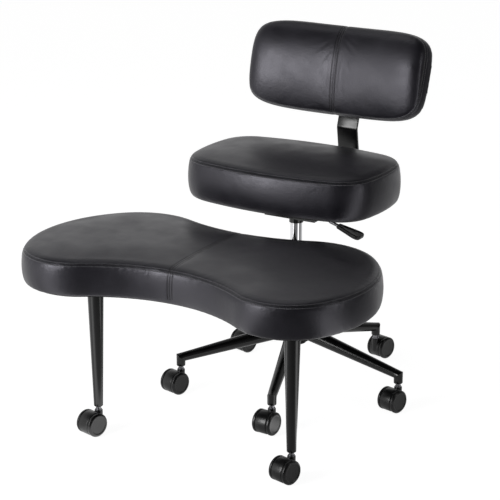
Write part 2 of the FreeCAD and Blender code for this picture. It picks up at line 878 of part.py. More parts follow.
plate_bolt_holes = [hole("seat_plate_bolt_%d" % number, size.bolt_diameter,
                         size.seat_plate_thickness, at(x, y, seat_plate_bottom))
                    for number, (x, y) in enumerate(seat_bolt_spots + bar_bolt_spots)]
pressed = join("seat_plate_body", top_plate, cut("seat_plate_tray", channel, channel_inside))
piece("seat_plate", cut("seat_plate", pressed, socket_hole, pivot_hole, *plate_bolt_holes))
socket_tube_bottom = channel_bottom - size.socket_tube_reach
piece("socket_tube", turned("socket_tube", [
    (tube_radius + size.running_gap, socket_tube_bottom),
    (socket_outer, socket_tube_bottom),
    (socket_outer, channel_bottom + wall),
    (tube_radius + size.running_gap, channel_bottom + wall),
]))
piece("seat_bolts", group("seat_bolts", [
    screw("seat_bolt_%d" % number, size.bolt_diameter, size.bolt_head, size.bolt_head_height,
          size.seat_plate_thickness + size.board_thickness, at(x, y, seat_plate_bottom))
    for number, (x, y) in enumerate(seat_bolt_spots)]))


# Height lever: a flat bar on a pin in the channel, its tail over the release pin, and a
# twice bent rod that carries a plastic paddle out past the seat plate.
bar_half = size.lever_bar_width / 2
bar_low = lever_height - size.lever_bar_height / 2
bar_high = lever_height + size.lever_bar_height / 2
lever_bar = box("lever_bar", (-size.lever_tail, -bar_half, bar_low),
                (size.lever_bar_length, bar_half, bar_high))
lever_hole = hole("lever_hole", size.lever_pin_diameter, size.channel_width, pivot_place)
east = Vector(0, 1, 0)
rod_turn = Rotation(east, 90)
lever_straight = rod("lever_straight", size.lever_rod_diameter,
                     size.lever_bend - size.lever_bar_length,
                     Placement(Vector(float(size.lever_bar_length), 0, float(lever_height)),
                               rod_turn))
first_bend = Vector(float(size.lever_bend), 0, float(lever_height))
fall_turn = Rotation(east, 90 + size.lever_fall.number)
second_bend = first_bend + fall_turn.multVec(Vector(0, 0, size.lever_fall_length.number))
lever_falling = rod("lever_falling", size.lever_rod_diameter, size.lever_fall_length,
                    Placement(first_bend, fall_turn))
lever_sloping = rod("lever_sloping", size.lever_rod_diameter, size.lever_rod_end,
                    Placement(second_bend, Rotation(east, 90 + size.lever_slope.number)))
lever_elbows = []
for number, bend in enumerate((first_bend, second_bend)):
    elbow = doc.addObject("Part::Sphere", "lever_elbow_%d" % number)
    bind(elbow, Radius=size.lever_rod_diameter / 2)
    elbow.Placement = Placement(bend, Rotation())
    lever_elbows.append(elbow)
lever_body = join("lever_body", lever_bar, lever_straight, lever_falling, lever_sloping,
                  *lever_elbows)
piece("lever_rod", cut("lever_rod", lever_body, lever_hole))
piece("lever_pin", rod("lever_pin", size.lever_pin_diameter, size.channel_width, pivot_place))

paddle_half = size.paddle_width / 2
nose = size.paddle_corner
paddle_end = size.paddle_start + size.paddle_length
paddle_blank = pad("paddle_blank", "XY_Plane", [
    (size.paddle_start, -size.lever_rod_diameter),
    (size.paddle_start + size.paddle_neck, -paddle_half),
    (paddle_end - nose, -paddle_half),
    (paddle_end, nose - paddle_half),
    (paddle_end, paddle_half - nose),
    (paddle_end - nose, paddle_half),
    (size.paddle_start + size.paddle_neck, paddle_half),
    (size.paddle_start, size.lever_rod_diameter),
], size.paddle_thickness)
paddle_bore = rod("paddle_bore", size.lever_rod_diameter + size.running_gap * 2,
                  size.lever_rod_end + size.end_gap, Placement(Vector(), rod_turn))
piece("lever_paddle", cut("lever_paddle", paddle_blank, paddle_bore),
      Placement(second_bend, Rotation(east, size.lever_slope.number)))


# Seat pad: a plywood board on the seat plate, and the crowned cushion that wraps it.
seat_arcs = cushion_outline(size.seat_half_width.number, size.seat_half_depth.number,
                            size.seat_corner.number, size.seat_corner_x.number,
                            size.seat_corner_y.number)
seat_place = at(0, -size.seat_offset, size.seat_under)
drills = [(x, y + size.seat_offset.number, size.bolt_diameter.number)
          for x, y in seat_bolt_spots]
for x, y in bar_bolt_spots:
    drills.append((x, y + size.seat_offset.number, size.bolt_diameter.number))
piece("seat_board", board("seat_board", seat_arcs, size.board_inset.number, drills), seat_place)
piece("seat_cushion", cushion("seat_cushion", seat_arcs, size.seat_thickness.number,
                              size.board_inset.number), seat_place)


# Back bar: flat steel bolted under the seat plate. It turns up behind the seat, leans
# forward to a kink and then lies along the backrest's board.
bar_top = seat_plate_bottom
bar_low_face = bar_top - size.bar_thickness
tilt = size.back_tilt
bar_plane = size.back_rear_y + size.bracket_depth / cosine(tilt)
kink_y = bar_plane - (size.back_centre_z - size.bar_kink_height) * tangent(tilt)
lean = size.bar_lean
foot_y = kink_y + (size.bar_kink_height - bar_top) * tangent(lean)
bar_step = size.bar_thickness / cosine(lean)
upper_step = size.bar_thickness / cosine(tilt)
top_z = size.back_centre_z + size.bar_end
top_y = bar_plane + size.bar_end * tangent(tilt)
lower_y = foot_y + size.bar_thickness * tangent(lean)
kink_drop = (upper_step - bar_step) / (tangent(tilt) + tangent(lean))
bar_body = pad("back_bar_body", "YZ_Plane", [
    (size.bar_front, bar_low_face),
    (lower_y + bar_step, bar_low_face),
    (kink_y + bar_step + kink_drop * tangent(lean), size.bar_kink_height - kink_drop),
    (top_y + size.bar_thickness * cosine(tilt), top_z - size.bar_thickness * sine(tilt)),
    (top_y, top_z),
    (kink_y, size.bar_kink_height),
    (foot_y, bar_top),
    (size.bar_front, bar_top),
], size.bar_width)
doc.recompute()


def edges_across(shape, spots, reach):
    """Names of the edges along X whose (y, z) lies within reach of one of the spots."""
    names = []
    for number, edge in enumerate(shape.Edges, 1):
        middle = edge.CenterOfMass
        along = abs(edge.Vertexes[0].Point.x - edge.Vertexes[-1].Point.x) > reach
        for y, z in spots:
            if along and math.dist((middle.y, middle.z), (float(y), float(z))) < reach:
                names.append("Edge%d" % number)
    return names


def round_bends(body, name, spots, radius):
    base = body.Tip
    fillet = body.newObject("PartDesign::Fillet", name)
    fillet.Base = (base, edges_across(base.Shape, spots, size.bar_thickness.number / 4))
    bind(fillet, Radius=radius)
    body.Tip = fillet
    doc.recompute()


lower_bend_outside = (lower_y + bar_step, bar_low_face)
kink_outside = (kink_y + bar_step + kink_drop * tangent(lean), size.bar_kink_height - kink_drop)
round_bends(bar_body, "back_bar_inside", [(foot_y, bar_top), kink_outside], size.bar_bend)
round_bends(bar_body, "back_bar_outside",
            [lower_bend_outside, (kink_y, size.bar_kink_height)],
            size.bar_bend + size.bar_thickness)


# Bracket: a hat of pressed steel between the bar and the backrest's bowed board, which
# its rims follow.
back_turn = Rotation(Vector(1, 0, 0), 90 - tilt.number)
back_rear = Placement(Vector(0, size.back_rear_y.number, size.back_centre_z.number), back_turn)
web_face = -size.bracket_depth
web_x = size.bracket_width / 2
flange_x = web_x + size.bracket_flange
bracket_top = size.bracket_height / 2 - size.bracket_drop
bracket_bottom = -size.bracket_height / 2 - size.bracket_drop
flat = size.bracket_wall
hat = box("bracket_hat", (-web_x, bracket_bottom, web_face), (web_x, bracket_top, flat), back_rear)
hat_inside = box("bracket_inside", (flat - web_x, bracket_bottom - flat, web_face + flat),
                 (web_x - flat, bracket_top + flat, flat * 2), back_rear)
flanges = [box("bracket_flange_left", (-flange_x, bracket_bottom, -flat),
               (-web_x, bracket_top, flat), back_rear),
           box("bracket_flange_right", (web_x, bracket_bottom, -flat),
               (flange_x, bracket_top, flat), back_rear)]
board_rear = rod("bracket_board_rear", size.back_bow_radius * 2, size.bracket_height, Placement())
board_rear.Placement = back_rear.multiply(
    Placement(Vector(0, bracket_bottom.number, size.back_bow_radius.number), pivot_turn))
back_bolt_spots = [(0, -size.bracket_drop.number + size.back_bolt_gap.number * side / 2)
                   for side in (-1, 1)]
screw_x = web_x + size.bracket_flange / 2
screw_y = size.bracket_height / 2 - size.screw_head
bracket_screw_spots = [(screw_x.number * i, screw_y.number * j - size.bracket_drop.number)
                       for i in (-1, 1) for j in (-1, 1)]
web_holes = [hole("bracket_bolt_%d" % number, size.bolt_diameter, flat,
                  back_rear.multiply(at(x, y, web_face)))
             for number, (x, y) in enumerate(back_bolt_spots)]
flange_holes = [hole("bracket_screw_hole_%d" % number, size.screw_diameter, flat * 2,
                     back_rear.multiply(at(x, y, -flat)))
                for number, (x, y) in enumerate(bracket_screw_spots)]
bracket_body = join("bracket_body", cut("bracket_channel", hat, hat_inside), *flanges)
piece("back_bracket", cut("back_bracket", bracket_body, board_rear, *(web_holes + flange_holes)))

bar_rear = web_face - size.bar_thickness
bar_bolt_holes = [hole("back_bar_bolt_%d" % number, size.bolt_diameter, size.bar_thickness,
                       at(x, y, bar_low_face))
                  for number, (x, y) in enumerate(bar_bolt_spots)]
back_bolt_holes = [hole("back_bar_drill_%d" % number, size.bolt_diameter, size.bar_thickness,
                        back_rear.multiply(at(x, y, bar_rear)))
                   for number, (x, y) in enumerate(back_bolt_spots)]
piece("back_bar", cut("back_bar", bar_body, *(bar_bolt_holes + back_bolt_holes)))
bar_bolts = [screw("bar_bolt_%d" % number, size.bolt_diameter, size.bolt_head,
                   size.bolt_head_height,
                   size.bar_thickness + size.seat_plate_thickness + size.board_thickness,
                   at(x, y, bar_low_face))
             for number, (x, y) in enumerate(bar_bolt_spots)]
back_bolts = [screw("back_bolt_%d" % number, size.bolt_diameter, size.bolt_head,
                    size.bolt_head_height, size.back_bolt_length,
                    back_rear.multiply(at(x, y, bar_rear)))
              for number, (x, y) in enumerate(back_bolt_spots)]
bracket_screws = [screw("bracket_screw_%d" % number, size.screw_diameter, size.screw_head,
                        size.screw_head_height, size.screw_length,
                        back_rear.multiply(at(x, y, -flat)))
                  for number, (x, y) in enumerate(bracket_screw_spots)]
piece("back_fasteners", group("back_fasteners", bar_bolts + back_bolts + bracket_screws))


# Backrest pad: a bowed plywood board and the crowned cushion that wraps it. The cushion is
# drawn through upright sections that stand square to the bow. A section is a rounded block,
# (depth / half depth)^n + (height / half height)^n = 1, and the same rule tapers the ends.
BACK_ENDS = 4.4
BACK_FRONT_TAPER = 5
BACK_REAR_TAPER = 14
BACK_FRONT_ROUND = 3.2
BACK_REAR_ROUND = 5
BACK_STATIONS = [0.3, 0.55, 0.72, 0.84, 0.91, 0.955, 0.98, 0.993]
SPOTS_PER_SECTION = 32


def half_left(share, fullness):
    """Part of a rounded block's half size that is left at a share of the way to its end."""
    return (1 - abs(share) ** fullness) ** (1 / fullness)


def back_section(share):
    """Closed section of the cushion at a share of its half width along the bow."""
    bow = size.back_bow_radius.number
    turn = share * size.back_half_width.number / bow
    lip = size.cushion_lip.number
    half_depth = (size.back_thickness.number - lip) / 2
    half_height = size.back_half_height.number * half_left(share, BACK_ENDS)
    spots = []
    for number in range(SPOTS_PER_SECTION):
        forward = math.cos(2 * math.pi * number / SPOTS_PER_SECTION)
        upward = math.sin(2 * math.pi * number / SPOTS_PER_SECTION)
        taper = BACK_FRONT_TAPER if forward > 0 else BACK_REAR_TAPER
        power = 2 / (BACK_FRONT_ROUND if forward > 0 else BACK_REAR_ROUND)
        swell = half_depth * half_left(share, taper)
        depth = lip + half_depth + math.copysign(swell * abs(forward) ** power, forward)
        height = math.copysign(half_height * abs(upward) ** power, upward)
        reach = bow - depth
        spots.append(Vector(reach * math.sin(turn), height, bow - reach * math.cos(turn)))
    spots.append(spots[0])
    return Part.Wire([Part.Arc(*spots[first:first + 3]).toShape()
                      for first in range(0, SPOTS_PER_SECTION, 2)])


def bowed_board(inset, thickness):
    """Board that follows the bow, its outline drawn in from the pad's."""
    bow = size.back_bow_radius.number
    half_width = size.back_half_width.number - inset
    half_height = size.back_half_height.number - inset
    corner = size.back_board_corner.number
    straight = corner + size.back_board_bow.number
    arcs = cushion_outline(half_width, half_height, corner, half_width - straight,
                           half_height - straight)
    upward = Vector(0, 1, 0)
    axis_foot = Vector(0, -half_height, bow)
    rear = Part.makeCylinder(bow, half_height * 2, axis_foot, upward)
    front = Part.makeCylinder(bow - thickness, half_height * 2, axis_foot, upward)
    return slab(arcs, 0, 0, bow).common(rear.cut(front))


board_body = bowed_board(size.back_board_inset.number, size.board_thickness.number)
for x, y in bracket_screw_spots:
    radius = size.screw_diameter.number / 2 + size.running_gap.number
    drill = Part.makeCylinder(radius, size.board_thickness.number * 2, Vector(x, y, 0))
    board_body = board_body.cut(drill)
back_board = doc.addObject("Part::Feature", "back_board")
back_board.Shape = board_body
piece("back_board", back_board, back_rear)
stations = [-share for share in reversed(BACK_STATIONS)] + [0] + BACK_STATIONS
swollen = Part.makeLoft([back_section(share) for share in stations], True, False)
gap = size.cushion_gap.number
recess = bowed_board(size.back_board_inset.number - gap, size.board_thickness.number + gap)
back_cushion = doc.addObject("Part::Feature", "back_cushion")
back_cushion.Shape = swollen.cut(recess)
piece("back_cushion", back_cushion, back_rear)


doc.recompute()
for thing in doc.Objects:
    if "Invalid" in thing.State or "Error" in thing.State:
        raise RuntimeError("%s failed: %s" % (thing.Label, thing.State))
os.makedirs("parts", exist_ok=True)
for node, solid in pieces.items():
    shape = solid.Shape
    if shape.isNull() or not shape.isValid() or not shape.Solids:
        raise RuntimeError("%s has no valid solid" % node)
for node, solid in pieces.items():
    solid.Shape.exportStep("parts/%s.step" % node)
print("%d pieces" % len(pieces))
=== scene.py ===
import math

import bmesh
import bpy
import numpy as np
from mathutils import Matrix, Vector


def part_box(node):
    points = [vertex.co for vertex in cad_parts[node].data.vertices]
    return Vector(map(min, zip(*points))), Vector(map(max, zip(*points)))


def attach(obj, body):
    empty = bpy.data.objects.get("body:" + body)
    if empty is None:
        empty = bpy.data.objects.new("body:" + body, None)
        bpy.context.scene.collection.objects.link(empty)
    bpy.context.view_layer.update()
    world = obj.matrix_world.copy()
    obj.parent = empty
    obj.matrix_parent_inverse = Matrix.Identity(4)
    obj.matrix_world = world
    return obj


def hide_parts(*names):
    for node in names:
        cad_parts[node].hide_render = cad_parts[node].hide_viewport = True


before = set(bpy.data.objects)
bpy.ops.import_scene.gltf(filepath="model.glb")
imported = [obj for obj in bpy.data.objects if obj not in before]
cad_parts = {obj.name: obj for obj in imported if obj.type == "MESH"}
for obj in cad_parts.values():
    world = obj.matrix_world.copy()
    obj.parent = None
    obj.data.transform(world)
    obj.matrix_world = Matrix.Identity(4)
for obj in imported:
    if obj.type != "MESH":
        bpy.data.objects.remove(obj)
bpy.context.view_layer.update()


# Star base: five round tapered steel tubes welded to a turned hub, each mitred at its tip onto
# a short upright socket that takes a caster's stem. Gloss black powder coat over the welds.
ARM_COUNT = 5
ARM_REACH = 0.2525
ARM_ROOT_HEIGHT = 0.139
ARM_TIP_HEIGHT = 0.077
ARM_ROOT_RADIUS = 0.017
ARM_TIP_RADIUS = 0.00985
ARM_SIDES = 48
HUB_RADIUS = 0.031
WELD_BEAD = 0.003
WELD_FADE = 0.003
WELD_STATIONS = (0, 0.004, 0.006, 0.008, 0.011, 0.016)
ARM_SUNK = 0.003
ELBOW_RUN = 0.009
ELBOW_DROP = 0.0092
ELBOW_STEPS = (0.0012, 0.0003)
ELBOW_SWELL = (1.0, 1.02)
SOCKET_FOOT = 0.0585
SOCKET_TOP = 0.0815
SOCKET_RADIUS = 0.00975
STEM_BORE = 0.0056
COAT_DARK = (0.0014, 0.0014, 0.0016, 1)
COAT_LIGHT = (0.0026, 0.0026, 0.0029, 1)


def add(tree, kind, sockets, **settings):
    """Adds a node, sets its options, and fills each named socket with a value or a link."""
    node = tree.nodes.new(kind)
    for name, value in settings.items():
        setattr(node, name, value)
    for name, value in sockets.items():
        if isinstance(value, bpy.types.NodeSocket):
            tree.links.new(value, node.inputs[name])
        else:
            node.inputs[name].default_value = value
    return node


def new_finish(name, **sockets):
    """A new finish with constants on its shader's sockets: gives the finish, its node tree and
    the piece's own coordinates."""
    finish = bpy.data.materials.new(name)
    finish.use_nodes = True
    tree = finish.node_tree
    for socket, value in sockets.items():
        tree.nodes["Principled BSDF"].inputs[socket.replace("_", " ")].default_value = value
    return finish, tree, add(tree, "ShaderNodeTexCoord", {}).outputs["Object"]


def noise(tree, spot, scale, detail, distortion=0):
    """Cloudy noise from 0 to 1, finer as the scale grows."""
    return add(tree, "ShaderNodeTexNoise", {"Vector": spot, "Scale": scale, "Detail": detail,
                                            "Distortion": distortion}).outputs["Fac"]


def ranged(tree, value, first, last, **settings):
    """A level that runs from the first to the last of two pairs (value, level)."""
    return add(tree, "ShaderNodeMapRange",
               {"Value": value, "From Min": first[0], "From Max": last[0], "To Min": first[1],
                "To Max": last[1]}, **settings).outputs["Result"]


def tinted(tree, share, first, last):
    """A colour that runs from the first to the last of two pairs (share, colour)."""
    ramp = add(tree, "ShaderNodeValToRGB", {"Fac": share})
    for stop, (place, colour) in zip(ramp.color_ramp.elements, (first, last)):
        stop.position = place
        stop.color = colour
    return ramp.outputs["Color"]


def wear(tree, colour, roughness, normal):
    """Links what a finish has worked out to its shader."""
    for name, value in (("Base Color", colour), ("Roughness", roughness), ("Normal", normal)):
        tree.links.new(value, tree.nodes["Principled BSDF"].inputs[name])


def drifting_finish(name, dark, light, patch, smooth, rough, grain, relief, **sockets):
    """Finish that drifts between two colours and two roughnesses in patches of one size, over a
    finer grain that stands up by the relief. Patch, grain and relief are in metres."""
    finish, tree, spot = new_finish(name, **sockets)
    drift = noise(tree, spot, 1 / patch, 4)
    bump = add(tree, "ShaderNodeBump", {"Height": noise(tree, spot, 1 / grain, 2), "Strength": 1,
                                        "Distance": relief})
    wear(tree, tinted(tree, drift, (0.35, dark), (0.65, light)),
         ranged(tree, drift, (0.3, smooth), (0.7, rough)), bump.outputs["Normal"])
    return finish


def mesh_of_rings(name, skins, crease=50):
    """One mesh of several skins. A skin is an array (ring, spot, xyz) of closed rings: each spot
    joins the next spot of its ring and the same spot of the next ring. A ring drawn to one
    point closes an end; edges that turn by more than the crease angle stay sharp."""
    spots = []
    quads = []
    first = 0
    for rings in skins:
        rows, columns = rings.shape[:2]
        number = first + np.arange(rows * columns).reshape(rows, columns)
        beside = np.roll(number, -1, axis=1)
        quads.append(np.stack([number[:-1], beside[:-1], beside[1:], number[1:]], axis=-1))
        spots.append(rings.reshape(-1, 3))
        first += rows * columns
    quads = np.concatenate([part.reshape(-1, 4) for part in quads])
    mesh = bpy.data.meshes.new(name)
    mesh.from_pydata(np.concatenate(spots).tolist(), [], quads.tolist())
    closed = bmesh.new()
    closed.from_mesh(mesh)
    bmesh.ops.remove_doubles(closed, verts=closed.verts, dist=1e-6)
    bmesh.ops.recalc_face_normals(closed, faces=closed.faces)
    closed.to_mesh(mesh)
    closed.free()
    mesh.shade_smooth()
    mesh.set_sharp_from_angle(angle=math.radians(crease))
    return mesh


def fit_piece(mesh, finish, body, slot, *nodes):
    """Makes the mesh a piece of the chair: finished, carried by a body, in place of its nodes."""
    thing = bpy.data.objects.new(mesh.name, mesh)
    bpy.context.scene.collection.objects.link(thing)
    mesh.materials.append(finish)
    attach(thing, body)
    if nodes:
        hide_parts(*nodes)
    return thing


def finish_nodes(finish, *nodes):
    """Gives pieces whose CAD shape is right their finish."""
    for node in nodes:
        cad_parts[node].material_slots[0].material = finish


def round_angles(sides):
    """Even angles round a circle."""
    return np.linspace(0, 2 * np.pi, sides, endpoint=False)


def turned_about_z(rings, angle):
    """The rings turned about the upright axis through the origin."""
    c, s = math.cos(angle), math.sin(angle)
    return rings @ np.array([[c, s, 0], [-s, c, 0], [0, 0, 1]])


def arm_skin():
    """Circles carried along the sloping centre line, slid along it onto the mitre plane at the
    elbow, then carried down the upright socket, round its lip and up its bore. The radius
    tapers evenly and flares at the hub by a weld bead that dies away exponentially."""
    slope = math.atan2(ARM_TIP_HEIGHT - ARM_ROOT_HEIGHT, ARM_REACH)
    along = np.array([math.cos(slope), 0, math.sin(slope)])
    over = np.array([-math.sin(slope), 0, math.cos(slope)])
    beside = np.array([0, 1, 0])
    out = np.array([1, 0, 0])
    down = np.array([0, 0, -1])
    elbow = np.array([ARM_REACH, 0, ARM_TIP_HEIGHT])
    length = ARM_REACH / math.cos(slope)
    across = np.cos(round_angles(ARM_SIDES))[None, :, None] * beside
    upper = np.sin(round_angles(ARM_SIDES))[None, :, None]

    travel = np.concatenate([HUB_RADIUS - ARM_SUNK + np.array(WELD_STATIONS),
                             np.linspace(0.06, length - ELBOW_RUN, 12)])[:, None, None]
    radius = ARM_ROOT_RADIUS + (ARM_TIP_RADIUS - ARM_ROOT_RADIUS) * travel / length
    radius = radius + WELD_BEAD * np.exp(-np.maximum(travel - HUB_RADIUS, 0) / WELD_FADE)
    slope_rings = elbow + (travel - length) * along + radius * (across + upper * over)

    mitre = (along + down) / np.linalg.norm(along + down)
    lean = ARM_TIP_RADIUS * upper * (over @ mitre) / (along @ mitre)
    step = np.array(ELBOW_STEPS)[:, None, None]
    swell = np.array(ELBOW_SWELL)[:, None, None]
    mitre_rings = (elbow + ARM_TIP_RADIUS * swell * (across + upper * over)
                   - (lean + step) * along)
    fall = ARM_TIP_RADIUS * upper * (out @ mitre) / (down @ mitre)
    turn_rings = (elbow + ARM_TIP_RADIUS * swell[::-1] * (across + upper * out)
                  - (fall - step[::-1]) * down)

    lip = np.array([(SOCKET_RADIUS, ARM_TIP_HEIGHT - ELBOW_DROP),
                    (SOCKET_RADIUS, SOCKET_FOOT + 0.0012),
                    (SOCKET_RADIUS - 0.0004, SOCKET_FOOT + 0.0003),
                    (SOCKET_RADIUS - 0.0013, SOCKET_FOOT), (STEM_BORE + 0.0006, SOCKET_FOOT),
                    (STEM_BORE, SOCKET_FOOT + 0.0006), (STEM_BORE, SOCKET_TOP),
                    (0, SOCKET_TOP)])[:, None, None, :]
    socket_rings = (np.array([ARM_REACH, 0, 0]) + lip[..., 0] * (across + upper * out)
                    - lip[..., 1] * down)
    root = np.repeat(slope_rings[:1].mean(axis=1, keepdims=True), ARM_SIDES, axis=1)
    return np.concatenate([root, slope_rings, mitre_rings, turn_rings, socket_rings])


powder_coat = drifting_finish("black powder coat", COAT_DARK, COAT_LIGHT, patch=0.02,
                              smooth=0.17, rough=0.24, grain=0.0011, relief=0.00001,
                              Specular_IOR_Level=0.5)
arm = arm_skin()
arms = [turned_about_z(arm, 2 * math.pi * count / ARM_COUNT) for count in range(ARM_COUNT)]
fit_piece(mesh_of_rings("star_arms", arms), powder_coat, "base", "black_steel", "base_arms")
finish_nodes(powder_coat, "base_hub", "column_tube", "ring_collar")


# Gas lift: a chromed steel tube on a zinc-plated rod, guided by a black nylon bush in the mouth
# of the column, on a thrust bearing. The release pin in its top is plain plated steel.
CHROME_DARK = (0.72, 0.72, 0.74, 1)
CHROME_LIGHT = (0.80, 0.80, 0.82, 1)
ZINC_DARK = (0.20, 0.20, 0.21, 1)
ZINC_LIGHT = (0.32, 0.32, 0.34, 1)
NYLON_DARK = (0.010, 0.010, 0.010, 1)
NYLON_LIGHT = (0.016, 0.016, 0.017, 1)

chrome = drifting_finish("polished chrome", CHROME_DARK, CHROME_LIGHT, patch=0.05, smooth=0.05,
                         rough=0.09, grain=0.0006, relief=0.000002, Metallic=1)
zinc_steel = drifting_finish("zinc plated steel", ZINC_DARK, ZINC_LIGHT, patch=0.006, smooth=0.28,
                             rough=0.42, grain=0.0008, relief=0.00001, Metallic=1)
nylon = drifting_finish("black nylon", NYLON_DARK, NYLON_LIGHT, patch=0.012, smooth=0.42,
                        rough=0.55, grain=0.0006, relief=0.00003)
finish_nodes(chrome, "pressure_tube")
finish_nodes(zinc_steel, "piston_rod", "thrust_bearing", "release_pin")
finish_nodes(nylon, "column_bush", "ring_bush")


# Casters: a moulded black hood on a plated stem, with a thin wheel on each side of it on one
# axle. The stem stands off the axle, so the caster trails, at the bearings in degrees that the
# photo shows; two carry the footrest's legs.
WHEEL_RADIUS = 0.025
WHEEL_SIDES = 72
HOOD_HALF = 0.0135
HOOD_FOOT = 0.006
BOSS_RADIUS = 0.0085
BOSS_FOOT = 0.020
WHEEL_INNER = 0.0143
WHEEL_OUTER = 0.0224
AXLE_BORE = 0.00305
AXLE_END = 0.02005
RIM_BEVEL = 0.0032
DISH_DEPTH = 0.001
TRAIL = 0.019
LEG_X = 0.2296
LEG_Y = -0.428
LEG_TRAIL = 255
ARM_TRAILS = (255, 75, 255, 255, 265)
HOOD_DARK = (0.0022, 0.0022, 0.0025, 1)
HOOD_LIGHT = (0.0045, 0.0045, 0.0050, 1)
TREAD_DARK = (0.0030, 0.0030, 0.0033, 1)
TREAD_LIGHT = (0.0060, 0.0060, 0.0065, 1)


def eased(corners, radius, steps=6):
    """Straight runs between corners, each inner corner swept by an arc of its radius: the arc
    starts radius times the tangent of half the turn before the corner."""
    corners = np.asarray(corners, float)
    radius = np.broadcast_to(np.asarray(radius, float), (len(corners) - 2,))[:, None]
    run = np.diff(corners, axis=0)
    way = run / np.linalg.norm(run, axis=1, keepdims=True)
    into, away = way[:-1], way[1:]
    turn = np.arctan2(into[:, 0] * away[:, 1] - into[:, 1] * away[:, 0],
                      (into * away).sum(axis=1))[:, None]
    start = corners[1:-1] - into * radius * np.tan(np.abs(turn) / 2)
    square = np.stack([-into[:, 1], into[:, 0]], axis=1) * np.sign(turn)
    centre = start + square * radius
    spoke = (start - centre)[:, None, :]
    swing = turn * np.linspace(0, 1, steps)[None, :]
    c, s = np.cos(swing), np.sin(swing)
    arc = centre[:, None, :] + np.stack([spoke[..., 0] * c - spoke[..., 1] * s,
                                         spoke[..., 0] * s + spoke[..., 1] * c], axis=-1)
    return np.concatenate([corners[:1], arc.reshape(-1, 2), corners[-1:]])


def lathe(profile, sides):
    """Profile of (radius, height) turned about the upright axis: each spot runs a circle."""
    angle = round_angles(sides)
    radius = profile[:, 0, None]
    height = np.repeat(profile[:, 1, None], sides, axis=1)
    return np.stack([radius * np.cos(angle), radius * np.sin(angle), height], axis=-1)


def even_loop(corners, count):
    """Spots at even steps round a closed line through the corners."""
    closed = np.concatenate([corners, corners[:1]])
    travel = np.concatenate([[0], np.cumsum(np.linalg.norm(np.diff(closed, axis=0), axis=1))])
    steps = np.linspace(0, travel[-1], count, endpoint=False)
    return np.stack([np.interp(steps, travel, closed[:, 0]),
                     np.interp(steps, travel, closed[:, 1])], axis=-1)


def drawn_in(loop, depth):
    """The anticlockwise loop drawn in by a depth, square to itself at each spot."""
    along = np.roll(loop, -1, axis=0) - np.roll(loop, 1, axis=0)
    along = along / np.linalg.norm(along, axis=1, keepdims=True)
    return loop + depth * np.stack([-along[:, 1], along[:, 0]], axis=-1)


def hood_skins():
    """A round web across the axle, cut flat above the floor, whose edges are eased by drawing its
    outline in towards both faces, and an upright boss that holds the stem."""
    low = math.asin((HOOD_FOOT - WHEEL_RADIUS) / WHEEL_RADIUS)
    sweep = np.linspace(low, math.pi - low, 120)
    web = even_loop(np.stack([TRAIL + WHEEL_RADIUS * np.cos(sweep),
                              WHEEL_RADIUS + WHEEL_RADIUS * np.sin(sweep)], axis=-1), 160)
    ease = [(0.0018, 0), (0.0008, 0.0003), (0.0002, 0.0009), (0, 0.0018)]
    stations = [(depth, set_back - HOOD_HALF) for depth, set_back in ease]
    stations = stations + [(depth, -place) for depth, place in reversed(stations)]
    rings = [np.insert(drawn_in(web, depth), 1, place, axis=1) for depth, place in stations]
    faces = [np.repeat(ring.mean(axis=0, keepdims=True), len(web), axis=0)
             for ring in (rings[0], rings[-1])]
    boss = lathe(eased([(0, BOSS_FOOT), (BOSS_RADIUS, BOSS_FOOT), (BOSS_RADIUS, 2 * WHEEL_RADIUS),
                        (0, 2 * WHEEL_RADIUS)], [0.001, 0.0012]), 48)
    return [np.stack([faces[0]] + rings + [faces[1]]), boss]


def wheel_skin(side):
    """Turned profile laid along the axle: bore, inner face, tread, bevelled rim and dished face."""
    rim = WHEEL_RADIUS - RIM_BEVEL
    dish = WHEEL_OUTER - DISH_DEPTH
    profile = eased([(0, AXLE_END), (AXLE_BORE, AXLE_END), (AXLE_BORE, WHEEL_INNER),
                     (WHEEL_RADIUS, WHEEL_INNER), (WHEEL_RADIUS, WHEEL_OUTER - 0.0030),
                     (rim, WHEEL_OUTER), (rim - 0.0030, WHEEL_OUTER),
                     (rim - 0.0042, dish), (0, dish)],
                    [0.0002, 0.0002, 0.0012, 0.0016, 0.0016, 0.0008, 0.0008])
    rings = lathe(profile, WHEEL_SIDES)
    return np.stack([TRAIL + rings[..., 0], side * rings[..., 2], WHEEL_RADIUS + rings[..., 1]],
                    axis=-1)


hood_plastic = drifting_finish("moulded hood plastic", HOOD_DARK, HOOD_LIGHT, patch=0.015,
                               smooth=0.26, rough=0.34, grain=0.0005, relief=0.00003)
wheel_plastic = drifting_finish("wheel tread plastic", TREAD_DARK, TREAD_LIGHT, patch=0.010,
                                smooth=0.26, rough=0.34, grain=0.0005, relief=0.00003)
caster_places = {"left": (-LEG_X, LEG_Y, LEG_TRAIL), "right": (LEG_X, LEG_Y, LEG_TRAIL)}
for letter, count, trail in zip("abcde", range(ARM_COUNT), ARM_TRAILS):
    bearing = 2 * math.pi * count / ARM_COUNT
    caster_places[letter] = (ARM_REACH * math.cos(bearing), ARM_REACH * math.sin(bearing), trail)
for letter, (stem_x, stem_y, trail) in caster_places.items():
    caster = "caster_" + letter
    stem = np.array([stem_x, stem_y, 0])
    hood = [turned_about_z(rings, math.radians(trail)) + stem for rings in hood_skins()]
    fit_piece(mesh_of_rings(caster + "_hood_moulding", hood), hood_plastic, caster,
              "caster_plastic", caster + "_hood")
    for side, hand in ((1, "left"), (-1, "right")):
        wheel = turned_about_z(wheel_skin(side), math.radians(trail)) + stem
        node = "%s_wheel_%s" % (caster, hand)
        fit_piece(mesh_of_rings(node + "_tyre", [wheel], 40), wheel_plastic, node,
                  "wheel_plastic", node)
    finish_nodes(zinc_steel, caster + "_pins")


